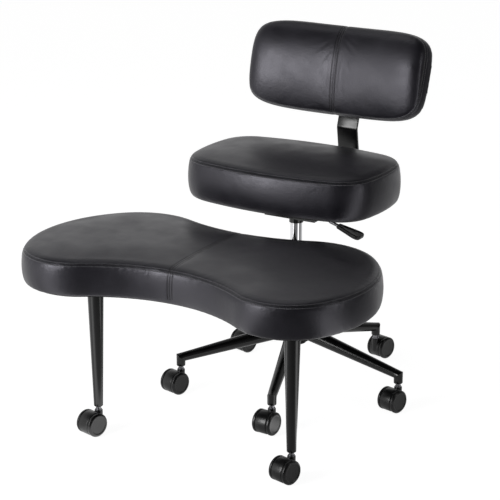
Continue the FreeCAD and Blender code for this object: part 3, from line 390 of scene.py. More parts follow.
# Footrest frame: a ring that turns on the column, a flat oval arm and a plate under the footrest
# board, and two tapered steel legs on caster stems, plug-welded to round plates. Powder-coated.
LEG_TOP_RADIUS = 0.0175
LEG_FOOT_RADIUS = 0.0095
LEG_WELD = 0.0015
LEG_SIDES = 56

leg_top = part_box("leg_left")[1].z
leg_profile = np.concatenate([
    [(0, SOCKET_TOP), (STEM_BORE, SOCKET_TOP)],
    eased([(STEM_BORE, SOCKET_TOP), (STEM_BORE, SOCKET_FOOT), (LEG_FOOT_RADIUS, SOCKET_FOOT),
           (LEG_TOP_RADIUS, leg_top)], [0.0006, 0.0018]),
    [(LEG_TOP_RADIUS + LEG_WELD, leg_top), (0, leg_top)]])
for hand, leg_x in (("left", -LEG_X), ("right", LEG_X)):
    leg = lathe(leg_profile, LEG_SIDES) + np.array([leg_x, LEG_Y, 0])
    fit_piece(mesh_of_rings("tapered_leg_" + hand, [leg]), powder_coat, "footrest", "black_steel",
              "leg_" + hand)
finish_nodes(powder_coat, "footrest_ring", "footrest_arm", "footrest_plate", "leg_plates")
finish_nodes(zinc_steel, "footrest_screws")


# Pad boards: birch plywood cut to the pad's outline, drilled for the bolts, let into the foam's
# underside. Black dust cloth is stapled over the two flat ones; the backrest's board is bare, and
# its edge shows thin dark glue lines between the plies.
PLY_PALE = (0.46, 0.34, 0.21, 1)
PLY_DARK = (0.30, 0.20, 0.115, 1)
PLY_THICKNESS = 0.0024
WAVE_PERIOD = 0.3142
CLOTH_DARK = (0.004, 0.004, 0.004, 1)
CLOTH_LIGHT = (0.008, 0.008, 0.008, 1)


def maths(tree, operation, *terms):
    """One step of arithmetic on values or links."""
    step = add(tree, "ShaderNodeMath", dict(enumerate(terms)), operation=operation)
    return step.outputs["Value"]


def plywood_finish():
    """Long streaks of grain across the sheet, darkened in bands by height where plies meet. A wave
    texture of scale one repeats after the wave period."""
    finish, tree, spot = new_finish("birch plywood")
    streaks = add(tree, "ShaderNodeMapping", {"Vector": spot, "Scale": (14, 260, 40)})
    grain = noise(tree, streaks.outputs["Vector"], 1, 5, 0.6)
    plies = add(tree, "ShaderNodeTexWave", {"Vector": spot, "Scale": WAVE_PERIOD / PLY_THICKNESS,
                                            "Distortion": 0.4}, bands_direction="Z")
    mixed = maths(tree, "MULTIPLY_ADD", grain, plies.outputs["Fac"], 0.1)
    bump = add(tree, "ShaderNodeBump", {"Height": grain, "Strength": 1, "Distance": 0.0002})
    wear(tree, tinted(tree, mixed, (0.1, PLY_DARK), (0.6, PLY_PALE)),
         ranged(tree, grain, (0, 0.55), (1, 0.75)), bump.outputs["Normal"])
    return finish


dust_cloth = drifting_finish("black dust cloth", CLOTH_DARK, CLOTH_LIGHT, patch=0.004, smooth=0.80,
                             rough=0.95, grain=0.0008, relief=0.00008, Specular_IOR_Level=0.2)
finish_nodes(dust_cloth, "footrest_board", "seat_board")
finish_nodes(plywood_finish(), "back_board")


# Footrest pad: kidney of foam on its board under black grained leather, a top panel sewn to a
# side wall with the seam at the top edge, and one seam across the waist with a double top stitch.
FOOT_UNDER = 0.341
FOOT_THICKNESS = 0.075
FOOT_FRONT = (0.241, -0.453, 0.1236)
FOOT_BACK = (0.198, -0.328, 0.152)
FOOT_SIDE_RADIUS = 0.247
FOOT_FRONT_WAIST = -0.505
FOOT_BACK_WAIST = -0.214
FOOT_MIDDLE = (0, -0.360)
FOOT_CROWN = 0.002
FOOT_SPOTS = 420
FOOT_STEP = 0.0055
FINE_SPOTS = 1600
BOARD_INSET = 0.0152
BOARD_THICKNESS = 0.0125
PAD_LIP = 0.0015
# share of the pad's thickness, and how far its cover is drawn in there, in shares of it
PAD_WALL = [(0.00, 0.118), (0.025, 0.090), (0.06, 0.067), (0.12, 0.045), (0.20, 0.027),
            (0.31, 0.013), (0.44, 0.008), (0.55, 0.010), (0.64, 0.016), (0.72, 0.025),
            (0.80, 0.038), (0.87, 0.053), (0.915, 0.065), (0.94, 0.074)]
PAD_TOP = [(0.960, 0.098), (0.980, 0.138), (1.000, 0.193), (1.018, 0.265), (1.034, 0.355),
           (1.047, 0.475), (1.057, 0.630), (1.063, 0.800)]
SEAM_SHARE, SEAM_INSET = PAD_WALL[-1]
SEAM_WIDTH = 0.0035
SEAM_SINK = 0.0010
EDGE_HOLD = 0.030
PANEL_HOLD = 0.020
PANEL_FIRMNESS = 0.8
WALL_BAND = 0.01
GLUED_HEIGHT = 0.012
PRESSURE = 4
PAD_SWELL = 0.003
SWELL_FRAMES = 20
LEATHER_DARK = (0.0088, 0.0083, 0.0112, 1)
LEATHER_LIGHT = (0.0142, 0.0134, 0.0178, 1)
LEATHER_SHEEN = (0.92, 0.90, 1.0, 1)
# stitch thread grey: partly the thread's colour, partly a painted highlight along the seam
THREAD_AND_SHINE_GREY = (0.085, 0.085, 0.09, 1)
# painted shade: near black laid into the seam folds and grooves, where shade falls
PAINTED_FOLD_SHADE = (0.002, 0.002, 0.002, 1)
GRAIN = 0.0016
STITCH = 0.0042
STITCH_HALF = 0.0008
STITCH_SHARE = 0.36
FOLD_HALF = 0.0009
EDGE_STITCH = 0.0036
PANEL_STITCH = 0.0052


def leather_finish():
    """Cells of the grain raised over finer wrinkles and over broad creases that are deepest beside
    the edge seam. The piece's own attributes hold the distance across a seam and the run along
    it: a fold is sunk at no distance and painted dark there as shade. The edge seam has a row of
    pale stitches on each side, dashed along the run, whose grey is partly the thread and partly a
    painted highlight; the panel seam has a sewn groove on each side, also sunk and painted dark as
    shade."""
    finish, tree, spot = new_finish("black grained leather", Specular_IOR_Level=0.5,
                                    Specular_Tint=LEATHER_SHEEN)

    def near(distance, half):
        """One on a line and nothing further off than about its half width."""
        return ranged(tree, distance, (half * 0.5, 1), (half * 1.5, 0),
                      interpolation_type="SMOOTHSTEP")

    def seam_ways(attribute, offset):
        """Distance off the seam, distance off its rows at the offset, and the run along it."""
        seam = add(tree, "ShaderNodeAttribute", {}, attribute_name=attribute)
        part = add(tree, "ShaderNodeSeparateXYZ", {"Vector": seam.outputs["Vector"]})
        away = maths(tree, "ABSOLUTE", part.outputs["X"])
        beside = maths(tree, "ABSOLUTE", maths(tree, "SUBTRACT", away, offset))
        return away, beside, part.outputs["Y"]

    edge, beside_edge, run = seam_ways("edge_seam", EDGE_STITCH)
    panel, beside_panel, _ = seam_ways("panel_seam", PANEL_STITCH)
    dash = near(maths(tree, "PINGPONG", run, STITCH / 2), STITCH * STITCH_SHARE)
    stitch = maths(tree, "MULTIPLY", near(beside_edge, STITCH_HALF), dash)
    # the fold mask both sinks the cover and paints shade into the fold
    fold_and_shade = maths(tree, "MAXIMUM", near(edge, FOLD_HALF), near(panel, FOLD_HALF))
    fold_and_shade = maths(tree, "MAXIMUM", fold_and_shade, near(beside_panel, FOLD_HALF))

    drift = noise(tree, spot, 22, 4)
    tint = tinted(tree, drift, (0.3, LEATHER_DARK), (0.7, LEATHER_LIGHT))
    # painted shade: the folds and grooves are mixed towards near black
    tint_with_painted_shade = add(tree, "ShaderNodeMixRGB", {"Fac": fold_and_shade, "Color1": tint, "Color2": PAINTED_FOLD_SHADE})
    # pale stitches: thread colour and a painted highlight in one
    sewn_and_shine = add(tree, "ShaderNodeMixRGB", {"Fac": stitch, "Color1": tint_with_painted_shade.outputs["Color"],
                                          "Color2": THREAD_AND_SHINE_GREY})
    cells = add(tree, "ShaderNodeTexVoronoi", {"Vector": spot, "Scale": 1 / GRAIN},
                feature="SMOOTH_F1")
    skin = maths(tree, "MULTIPLY_ADD", noise(tree, spot, 260, 3), 0.8, cells.outputs["Distance"])
    pucker = ranged(tree, edge, (0, 1), (EDGE_HOLD, 0.12))
    puckered = maths(tree, "MULTIPLY", noise(tree, spot, 70, 3, 0.7), pucker)
    reliefs = [(puckered, 0.0015, 0.5, False), (skin, 0.00016, 0.6, False),
               (fold_and_shade, 0.0012, 1, True), (stitch, 0.0006, 1, False)]
    normal = None
    for height, depth, strength, sunk_in in reliefs:
        sockets = {"Height": height, "Distance": depth, "Strength": strength}
        if normal:
            sockets["Normal"] = normal
        normal = add(tree, "ShaderNodeBump", sockets, invert=sunk_in).outputs["Normal"]
    wear(tree, sewn_and_shine.outputs["Color"], ranged(tree, drift, (0.3, 0.32), (0.7, 0.42)), normal)
    return finish


def arc_outline(arcs, count):
    """Spots at even steps round an outline of arcs, and which way each faces out. An arc is
    (centre x, centre y, radius, start, end); a spot is centre plus radius along its angle,
    and a hollow stretch has a negative radius."""
    x, y, radius, start, end = np.array(arcs).T
    length = np.abs(radius * (end - start))
    before = np.concatenate([[0], np.cumsum(length)])
    travel = np.linspace(0, before[-1], count, endpoint=False)
    which = np.searchsorted(before[1:], travel, side="right")
    angle = start[which] + (travel - before[which]) / length[which] * (end - start)[which]
    facing = np.stack([np.cos(angle), np.sin(angle)], axis=-1)
    return np.stack([x[which], y[which]], axis=-1) + radius[which, None] * facing, facing


def kidney_arcs():
    """Two lobes of three arcs each that run into each other, joined by a deep hollow in front and a
    shallow one behind; the left lobe mirrors the right."""
    front, front_radius = FOOT_FRONT[:2], FOOT_FRONT[2]
    back, back_radius = FOOT_BACK[:2], FOOT_BACK[2]

    def bearing(start, end):
        """Direction from one spot to another."""
        return math.atan2(end[1] - start[1], end[0] - start[0])

    from_front = FOOT_SIDE_RADIUS - front_radius
    from_back = FOOT_SIDE_RADIUS - back_radius
    apart = math.dist(front, back)
    swing = math.acos((from_front ** 2 + apart ** 2 - from_back ** 2) / (2 * from_front * apart))
    lean = bearing(front, back) + swing
    side = (front[0] + from_front * math.cos(lean), front[1] + from_front * math.sin(lean))
    rise = front[1] - FOOT_FRONT_WAIST
    front_hollow = (front[0] ** 2 + rise ** 2 - front_radius ** 2) / (2 * (front_radius - rise))
    front_middle = (0, FOOT_FRONT_WAIST - front_hollow)
    rise = FOOT_BACK_WAIST - back[1]
    back_hollow = (back[0] ** 2 + rise ** 2 - back_radius ** 2) / (2 * (back_radius - rise))
    back_middle = (0, FOOT_BACK_WAIST + back_hollow)
    turns = [bearing(front, front_middle), bearing(side, front), bearing(side, back),
             bearing(back, back_middle)]
    right = [(*front, front_radius, turns[0], turns[1]),
             (*side, FOOT_SIDE_RADIUS, turns[1], turns[2]),
             (*back, back_radius, turns[2], turns[3])]
    left = [(-x, y, radius, math.pi - end, math.pi - start)
            for x, y, radius, start, end in reversed(right)]
    return (right + [(*back_middle, -back_hollow, turns[3], math.pi - turns[3])] + left
            + [(*front_middle, -front_hollow, -math.pi - turns[0], turns[0])])


def pad_skin(outline, facing, middle, under, thickness, crown):
    """Closed skin of a pad: the recess for its board, a lip round that, a wall that follows the
    outline drawn in by the wall's share at each height, and a top that rises by the crown
    times one minus the square of the way out from the middle."""
    lip = under + PAD_LIP
    rise = thickness - PAD_LIP
    middle = np.array(middle)

    def ring(depth, height):
        """The outline drawn in by a depth, at a height."""
        flat = outline - depth * facing
        return np.concatenate([flat, np.full((len(flat), 1), height)], axis=1)

    def shrunk(edge, share, height):
        """An edge shrunk towards the middle to a share of its size, at a height."""
        flat = middle + (edge[:, :2] - middle) * share
        return np.concatenate([flat, np.full((len(flat), 1), height)], axis=1)

    recess = ring(BOARD_INSET, under + BOARD_THICKNESS)
    rings = [shrunk(recess, share, under + BOARD_THICKNESS) for share in (0, 0.25, 0.5, 0.75)]
    rings += [recess, ring(BOARD_INSET, lip)]
    rings += [ring(inset * thickness, lip + share * rise) for share, inset in PAD_WALL + PAD_TOP]
    edge = rings[-1]
    rings += [shrunk(edge, share, edge[0, 2] + crown * (1 - share ** 2))
              for share in (0.88, 0.74, 0.6, 0.46, 0.32, 0.18, 0.08, 0)]
    return np.stack(rings)


def even_mesh(mesh, step):
    """The same closed form in even squares of one step, as its own mesh."""
    rough = bpy.data.objects.new(mesh.name + "_rough", mesh)
    bpy.context.scene.collection.objects.link(rough)
    remesh = rough.modifiers.new("even", "REMESH")
    remesh.mode = "VOXEL"
    remesh.voxel_size = step
    done = rough.evaluated_get(bpy.context.evaluated_depsgraph_get())
    even = bpy.data.meshes.new_from_object(done)
    even.name = mesh.name
    bpy.data.objects.remove(rough)
    return even


def spots_of(mesh):
    """Places of a mesh's spots, as an array (spot, xyz)."""
    spots = np.empty(len(mesh.vertices) * 3)
    mesh.vertices.foreach_get("co", spots)
    return spots.reshape(-1, 3)


def stuffed(mesh, held, cap):
    """Blows the cover up as cloth over its foam: held gives how firmly each spot is sewn or glued
    down, from 0 to 1, and no spot moves further than the cap times what is left free."""
    held = np.round(held, 1)
    cover = bpy.data.objects.new(mesh.name + "_cover", mesh)
    bpy.context.scene.collection.objects.link(cover)
    sewn_and_shine = cover.vertex_groups.new(name="sewn_and_shine")
    for firmness in np.unique(held):
        if firmness > 0:
            sewn_and_shine.add(np.flatnonzero(held == firmness).tolist(), float(firmness), "REPLACE")
    cloth = cover.modifiers.new("cloth", "CLOTH")
    cloth.settings.quality = 5
    cloth.settings.mass = 0.3
    cloth.settings.tension_stiffness = 15
    cloth.settings.compression_stiffness = 15
    cloth.settings.shear_stiffness = 5
    cloth.settings.bending_stiffness = 0.5
    cloth.settings.use_pressure = True
    cloth.settings.uniform_pressure_force = PRESSURE
    cloth.settings.vertex_group_mass = "sewn_and_shine"
    cloth.settings.effector_weights.gravity = 0
    cloth.collision_settings.use_collision = False
    cloth.point_cache.frame_start = 1
    cloth.point_cache.frame_end = SWELL_FRAMES
    for moment in range(1, SWELL_FRAMES + 1):
        bpy.context.scene.frame_set(moment)
    blown = cover.evaluated_get(bpy.context.evaluated_depsgraph_get()).to_mesh()
    rest = spots_of(mesh)
    shift = spots_of(blown) - rest
    reach = np.maximum(np.linalg.norm(shift, axis=1, keepdims=True), 1e-9)
    bpy.data.objects.remove(cover)
    bpy.context.scene.frame_set(1)
    shift = shift * (1 - held[:, None]) * cap * np.tanh(reach / cap) / reach
    mesh.vertices.foreach_set("co", (rest + shift).ravel())
    mesh.update()


def draw_seam(mesh, name, across, along):
    """Keeps a seam on its mesh: for each spot the distance across it and the run along it."""
    seam = mesh.attributes.new(name, "FLOAT_VECTOR", "POINT")
    seam.data.foreach_set("vector", np.stack([across, along, 0 * along], axis=-1).ravel())


def way_in(spots, outline):
    """Plan distance of each spot from the nearest spot of the outline."""
    nearest = []
    for some in np.array_split(spots, 50):
        x, y = (some[:, None, :2] - outline).transpose(2, 0, 1)
        nearest.append(np.hypot(x, y).min(axis=1))
    return np.concatenate(nearest)


def off_edge_seam(spots, outline, seam_height, seam_depth):
    """Way over the cover from the seam at the top edge: for spots below it in the band of the wall
    the drop, as a negative number, and else the slant way in over the top panel."""
    over = np.maximum(way_in(spots, outline) - seam_depth, 0)
    rise = spots[:, 2] - seam_height
    return np.where((rise < 0) & (over < WALL_BAND), rise, np.hypot(over, rise))


def held_near(distance, reach):
    """Full hold on a seam that dies away smoothly over a reach."""
    share = np.clip(np.abs(distance) / reach, 0, 1)
    return 1 - share * share * (3 - 2 * share)


def sunk(mesh, distance, depth=SEAM_SINK):
    """Draws the cover in along a seam: each spot goes back against its normal by the depth times
    a bell curve of its distance from the seam."""
    normals = np.empty(len(mesh.vertices) * 3)
    mesh.vertices.foreach_get("normal", normals)
    dip = depth * np.exp(-(distance / SEAM_WIDTH) ** 2)
    spots = spots_of(mesh) - normals.reshape(-1, 3) * dip[:, None]
    mesh.vertices.foreach_set("co", spots.ravel())
    mesh.update()


def run_round(spots, outline, middle):
    """Run along an outline, read off for each spot by its bearing from the middle."""
    def bearing(flat):
        """Direction of each spot from the middle."""
        return np.arctan2(flat[:, 1] - middle[1], flat[:, 0] - middle[0])

    step = np.linalg.norm(np.diff(outline, axis=0, prepend=outline[-1:]), axis=1)
    order = np.argsort(bearing(outline))
    return np.interp(bearing(spots), bearing(outline)[order], np.cumsum(step[order]))


def fit_pad(mesh, finish, body, fill, *nodes):
    """A stuffed cover as a piece, smoothed once."""
    mesh.shade_smooth()
    pad = fit_piece(mesh, finish, body, "leather", *nodes)
    smooth = pad.modifiers.new("smooth", "SUBSURF")
    smooth.levels = 1
    smooth.render_levels = 1


leather = leather_finish()
kidney, kidney_facing = arc_outline(kidney_arcs(), FOOT_SPOTS)
fine_kidney = arc_outline(kidney_arcs(), FINE_SPOTS)[0]
foot_skin = pad_skin(kidney, kidney_facing, FOOT_MIDDLE, FOOT_UNDER, FOOT_THICKNESS, FOOT_CROWN)
foot_mesh = even_mesh(mesh_of_rings("footrest_pad", [foot_skin]), FOOT_STEP)
foot_seam = FOOT_UNDER + PAD_LIP + SEAM_SHARE * (FOOT_THICKNESS - PAD_LIP)
spots = spots_of(foot_mesh)
edge = off_edge_seam(spots, fine_kidney, foot_seam, SEAM_INSET * FOOT_THICKNESS)
covered = spots[:, 2] > FOOT_UNDER + GLUED_HEIGHT
waist = np.where(covered, spots[:, 0], 1.0)
held = np.maximum(held_near(edge, EDGE_HOLD), PANEL_FIRMNESS * held_near(waist, PANEL_HOLD))
stuffed(foot_mesh, np.where(covered, held, 1.0), PAD_SWELL)
sunk(foot_mesh, edge)
sunk(foot_mesh, waist)
draw_seam(foot_mesh, "edge_seam", edge, run_round(spots, kidney, FOOT_MIDDLE))
draw_seam(foot_mesh, "panel_seam", waist, spots[:, 2] - spots[:, 1])
fit_pad(foot_mesh, leather, "footrest", 0.7, "footrest_cushion")


# Seat plate: pressed black steel with a channel below for the lever, a welded socket tube for
# the gas lift, and plated bolts up into the board. Only the tube shows below the seat.
finish_nodes(powder_coat, "seat_plate", "socket_tube")
finish_nodes(zinc_steel, "seat_bolts", "lever_pin")


# Height lever: a plated rod bent twice, down and out from under the seat, with a moulded paddle
# pushed onto its end. The paddle widens outwards and has a shallow bare panel on its upper face.
LEVER_BEND = (0.08371, 0.39272)
LEVER_SLOPE = math.radians(17)
PADDLE_START = 0.018
PADDLE_LENGTH = 0.060
PADDLE_HALF = 0.017
PADDLE_NECK_HALF = 0.007
PADDLE_FLARE = 0.044
PADDLE_CORNER = 0.009


def paddle_skin():
    """Rounded tongue: its outline drawn in towards both faces to ease its edges, with a panel
    sunk into the upper face. Length runs down the slope from the rod's bend."""
    start, end = PADDLE_START, PADDLE_START + PADDLE_LENGTH
    right = eased([(start, 0), (start, -PADDLE_NECK_HALF), (start + PADDLE_FLARE, -PADDLE_HALF),
                   (end, -PADDLE_HALF), (end, 0)], [0.003, 0.02, PADDLE_CORNER], 8)
    left = right[::-1] * np.array([1, -1])
    loop = even_loop(np.concatenate([right, left[1:-1]]), 140)
    stations = [(0.0030, -0.0045), (0.0012, -0.0041), (0.0003, -0.0030), (0, -0.0015), (0, 0.0015),
                (0.0003, 0.0030), (0.0012, 0.0041), (0.0024, 0.0045), (0.0036, 0.0045),
                (0.0042, 0.0039)]
    rings = [np.insert(drawn_in(loop, depth), 2, height, axis=1) for depth, height in stations]
    middle = np.array([[(start + end) / 2, 0, 0]])
    for edge, place in ((rings[0], 0), (rings[-1], len(rings) + 1)):
        rings.insert(place, np.repeat(middle + edge[:1] * (0, 0, 1), len(loop), axis=0))
    rings = np.stack(rings)
    c, s = math.cos(LEVER_SLOPE), math.sin(LEVER_SLOPE)
    return np.stack([LEVER_BEND[0] + rings[..., 0] * c + rings[..., 2] * s, rings[..., 1],
                     LEVER_BEND[1] - rings[..., 0] * s + rings[..., 2] * c], axis=-1)


paddle_plastic = drifting_finish("paddle plastic", HOOD_DARK, HOOD_LIGHT, patch=0.008,
                                 smooth=0.38, rough=0.50, grain=0.0004, relief=0.00004)
fit_piece(mesh_of_rings("lever_tongue", [paddle_skin()]), paddle_plastic, "lever", "black_plastic",
          "lever_paddle")
finish_nodes(zinc_steel, "lever_rod")


# Seat pad: thick foam on its board under the same leather, a bowed rounded rectangle with one
# seam round its top edge, where the crowned top panel meets the side wall.
SEAT_UNDER = 0.437
SEAT_THICKNESS = 0.091
SEAT_MIDDLE = (0, -0.013)
SEAT_HALF = (0.225, 0.148)
SEAT_CORNER = 0.085
SEAT_CORNER_SPOT = (0.136, 0.049)
SEAT_CROWN = 0.002
SEAT_SPOTS = 320
SEAT_STEP = 0.005


def cushion_arcs():
    """Four side arcs, each bowed so that it runs smoothly into the corner circles at its ends."""
    def bow(side):
        """A corner's place out from the middle and along the side, then the side arc's centre,
        its radius and half its sweep."""
        reach, off = SEAT_HALF[side % 2], SEAT_CORNER_SPOT[side % 2]
        span = SEAT_CORNER_SPOT[1 - side % 2]
        rise = reach - off
        radius = (span ** 2 + rise ** 2 - SEAT_CORNER ** 2) / (2 * (rise - SEAT_CORNER))
        centre = reach - radius
        return off, span, centre, radius, math.atan2(span, off - centre)

    arcs = []
    for side in range(4):
        turn = side * math.pi / 2
        off, span, centre, radius, half = bow(side)
        next_half = bow(side + 1)[-1]
        c, s = math.cos(turn), math.sin(turn)
        arcs.append((centre * c, centre * s, radius, turn - half, turn + half))
        arcs.append((off * c - span * s, off * s + span * c, SEAT_CORNER, turn + half,
                     turn + math.pi / 2 - next_half))
    return arcs


seat_outline, seat_facing = arc_outline(cushion_arcs(), SEAT_SPOTS)
seat_outline = seat_outline + np.array(SEAT_MIDDLE)
fine_outline = arc_outline(cushion_arcs(), FINE_SPOTS)[0] + np.array(SEAT_MIDDLE)
seat_skin = pad_skin(seat_outline, seat_facing, SEAT_MIDDLE, SEAT_UNDER, SEAT_THICKNESS,
                     SEAT_CROWN)
seat_mesh = even_mesh(mesh_of_rings("seat_pad", [seat_skin]), SEAT_STEP)
seat_seam = SEAT_UNDER + PAD_LIP + SEAM_SHARE * (SEAT_THICKNESS - PAD_LIP)
spots = spots_of(seat_mesh)
edge = off_edge_seam(spots, fine_outline, seat_seam, SEAM_INSET * SEAT_THICKNESS)
held = np.where(spots[:, 2] > SEAT_UNDER + GLUED_HEIGHT, held_near(edge, EDGE_HOLD), 1.0)
stuffed(seat_mesh, held, PAD_SWELL)
sunk(seat_mesh, edge)
draw_seam(seat_mesh, "edge_seam", edge, run_round(spots, seat_outline, SEAT_MIDDLE))
draw_seam(seat_mesh, "panel_seam", np.ones(len(spots)), spots[:, 1])
fit_pad(seat_mesh, leather, "seat", 0.75, "seat_cushion")


# Back bar: flat steel strip bolted under the seat plate, bent up behind the seat and kinked back
# below the backrest, powder-coated, with broken edges. A pressed bracket joins it to the board.
BAR_HALF_WIDTH = 0.025
BAR_HALF_THICK = 0.003
BAR_EDGE = 0.0010
BAR_BEND = 0.017
BAR_ROUTE = [(0.048, 0.431), (0.24899, 0.431), (0.23193, 0.53869), (0.28920, 0.70500)]


def bar_skin():
    """A flat section with rounded edges carried along the bent route in the middle plane: each
    station stands square to the route there."""
    route = eased(BAR_ROUTE, BAR_BEND, 12)
    route = np.concatenate([[route[0]], route, [route[-1]]])
    ahead = np.gradient(route[1:-1], axis=0)
    ahead = ahead / np.linalg.norm(ahead, axis=1, keepdims=True)
    ahead = np.concatenate([ahead[:1], ahead, ahead[-1:]])
    square = np.stack([-ahead[:, 1], ahead[:, 0]], axis=-1)
    corner = eased([(BAR_HALF_WIDTH, 0), (BAR_HALF_WIDTH, BAR_HALF_THICK), (0, BAR_HALF_THICK)],
                   BAR_EDGE, 5)
    quarter = np.concatenate([corner, corner[::-1] * (-1, 1)])
    loop = np.concatenate([quarter, quarter[1:-1][::-1] * (1, -1)])
    size = np.ones((len(route), 1))
    size[0] = size[-1] = 0
    flat = route[:, None, :] + (size * loop[:, 1])[..., None] * square[:, None, :]
    return np.concatenate([(size * loop[:, 0])[..., None], flat], axis=-1)


fit_piece(mesh_of_rings("back_strip", [bar_skin()], 60), powder_coat, "seat", "black_steel",
          "back_bar")
finish_nodes(powder_coat, "back_bracket")
finish_nodes(zinc_steel, "back_fasteners")


# Backrest pad: foam on a bowed board under the same leather, a front panel of two halves sewn at
# the middle with a double top stitch, and a side wall sewn on round its edge.
BACK_PLACE = (0, 0.225, 0.666)
BACK_TILT = math.radians(19)
BACK_HALF_WIDTH = 0.223
BACK_HALF_HEIGHT = 0.1005
BACK_DEPTH = 0.066
BACK_BOW = 0.890
BACK_WIDEST = 0.026
BACK_FRONT_ROUND = 2.2
BACK_REAR_ROUND = 5.0
BACK_FRONT_ENDS = 4.4
BACK_REAR_ENDS = 14.0
BACK_OUTLINE = 5.2
BACK_WEDGE = 0.12
BACK_SLACK = 0.002
BACK_SEAM_DEPTH = 0.031
BACK_EDGE_HOLD = 0.012
BACK_FIRMNESS = 0.9
BACK_SWELL = 0.006
BACK_PANEL_SINK = 0.0012
BACK_GLUED_DEPTH = 0.010
BACK_END = 0.16
BACK_LOOPS = 81
BACK_SPREAD = 0.8
BACK_SIDES = 120
BACK_STEP = 0.0045


def back_skin():
    """Closed loops across the bow: at each share of the half width the loop is a superellipse,
    squarer behind than in front and thicker higher up, whose height and depth close up towards
    the ends by superellipses too, wrapped round an upright axis in front of the pad. Slack is
    left inside the CAD outline for the cover to swell."""
    share = np.sin(np.linspace(-np.pi / 2, np.pi / 2, BACK_LOOPS))[:, None]
    share = np.sign(share) * np.abs(share) ** BACK_SPREAD
    angle = round_angles(BACK_SIDES)[None, :]
    front = np.sin(angle) > 0
    half = np.where(front, BACK_DEPTH - BACK_WIDEST, BACK_WIDEST - PAD_LIP)
    close = np.where(front, BACK_FRONT_ENDS, BACK_REAR_ENDS)
    power = np.where(front, 2 / BACK_FRONT_ROUND, 2 / BACK_REAR_ROUND)

    def closing(ends):
        """One in the middle, nothing at both ends."""
        return (1 - np.abs(share) ** ends) ** (1 / ends)

    tall = (BACK_HALF_HEIGHT - BACK_SLACK) * closing(BACK_OUTLINE)
    deep = (half - BACK_SLACK / 2) * closing(close)
    height = tall * np.sign(np.cos(angle)) * np.abs(np.cos(angle)) ** power
    depth = BACK_WIDEST + deep * np.sign(np.sin(angle)) * np.abs(np.sin(angle)) ** power
    depth = depth + BACK_WEDGE * height * np.maximum(np.sin(angle), 0)
    turn = share * (BACK_HALF_WIDTH - BACK_SLACK) / BACK_BOW
    reach = BACK_BOW - depth
    return np.stack([reach * np.sin(turn), height, BACK_BOW - reach * np.cos(turn)], axis=-1)


def hung_back(local):
    """From the pad's own frame (across, up the board, towards the front) to its place."""
    c, s = math.cos(BACK_TILT), math.sin(BACK_TILT)
    return np.array(BACK_PLACE) + np.stack([local[..., 0], s * local[..., 1] - c * local[..., 2],
                                            c * local[..., 1] + s * local[..., 2]], axis=-1)


def back_frame(spots):
    """Across, up and depth off the bowed board for spots in place on the chair."""
    c, s = math.cos(BACK_TILT), math.sin(BACK_TILT)
    x, y, z = (spots - np.array(BACK_PLACE)).T
    up, out = s * y + c * z, s * z - c * y
    return x, up, BACK_BOW - np.hypot(x, BACK_BOW - out)


back_mesh = even_mesh(mesh_of_rings("backrest_pad", [hung_back(back_skin())]), BACK_STEP)
across, up, depth = back_frame(spots_of(back_mesh))
edge = depth - BACK_SEAM_DEPTH
middle = np.where(depth > GLUED_HEIGHT, across, 1.0)
held = BACK_FIRMNESS * np.maximum(held_near(edge, BACK_EDGE_HOLD), held_near(middle, PANEL_HOLD))
stuffed(back_mesh, np.where(depth < BACK_GLUED_DEPTH, 1.0, held), BACK_SWELL)
sunk(back_mesh, edge)
sunk(back_mesh, middle, BACK_PANEL_SINK)
draw_seam(back_mesh, "edge_seam", edge, np.where(np.abs(across) > BACK_END, up, across))
draw_seam(back_mesh, "panel_seam", middle, up)
fit_pad(back_mesh, leather, "seat", 0.7, "back_cushion")


# Studio: a plain pale floor that keeps a soft shadow, a white room, a tall soft lamp at each side
# and a broad one above. Reflections find the room's walls brighter on the left. The floor also
# glows for reflections only, brighter on the left and in a lane below each side lamp: a painted
# reflection, not lit by the lamps. The camera stands in front, a little to the right, and looks
# down.
FLOOR_HALF = 30.0
FLOOR_COLOUR = (0.30, 0.30, 0.30, 1)
FLOOR_GLOW = 0.925
# the way in which a level grows, and its two pairs (place that way, level)
FLOOR_WAY = (-0.85, 0.53, 0)
FLOOR_FADE = [(-0.9, 0.08), (0.6, 0.9)]
WALL_WAY = (-0.97, 0.24, 0)
WALL_FADE = [(-0.6, 0.10), (0.7, 0.80)]
CEILING_FADE = [(0.45, 1), (0.85, 0.1)]
# where the lanes of painted reflection meet, their bearings off straight ahead, and two pairs
# (angle off them, level)
LANE_START_Y = -0.2
LANE_BEARINGS = (math.radians(-32), math.radians(80))
LANE_FADE = [(0.12, 1.9), (0.30, 0)]
LAMP_AIM = (0, -0.15, 0.45)
CAMERA_PLACE = (1.8283, -3.3134, 1.5419)
CAMERA_AZIMUTH = math.radians(30.4)
CAMERA_DROP = math.radians(17.952)
CAMERA_LENS = 132.15


def seen_straight(tree):
    """One for rays that come straight from the camera, or through something clear."""
    path = add(tree, "ShaderNodeLightPath", {})
    return maths(tree, "MAXIMUM", path.outputs["Is Camera Ray"],
                 path.outputs["Is Transmission Ray"])


def way_along(tree, spot, way):
    """How far a spot lies in a way."""
    dot = add(tree, "ShaderNodeVectorMath", {0: spot, 1: way}, operation="DOT_PRODUCT")
    return dot.outputs["Value"]


floor_corners = FLOOR_HALF * np.array([(-1, -1, 0), (1, -1, 0), (1, 1, 0), (-1, 1, 0)])
floor_mesh = bpy.data.meshes.new("studio_floor")
floor_mesh.from_pydata(floor_corners.tolist(), [], [(0, 1, 2, 3)])
floor = bpy.data.objects.new("studio_floor", floor_mesh)
bpy.context.scene.collection.objects.link(floor)
floor_paint = bpy.data.materials.new("pale studio floor")
floor_paint.use_nodes = True
tree = floor_paint.node_tree
tree.nodes.remove(tree.nodes["Principled BSDF"])
spot = add(tree, "ShaderNodeTexCoord", {}).outputs["Object"]
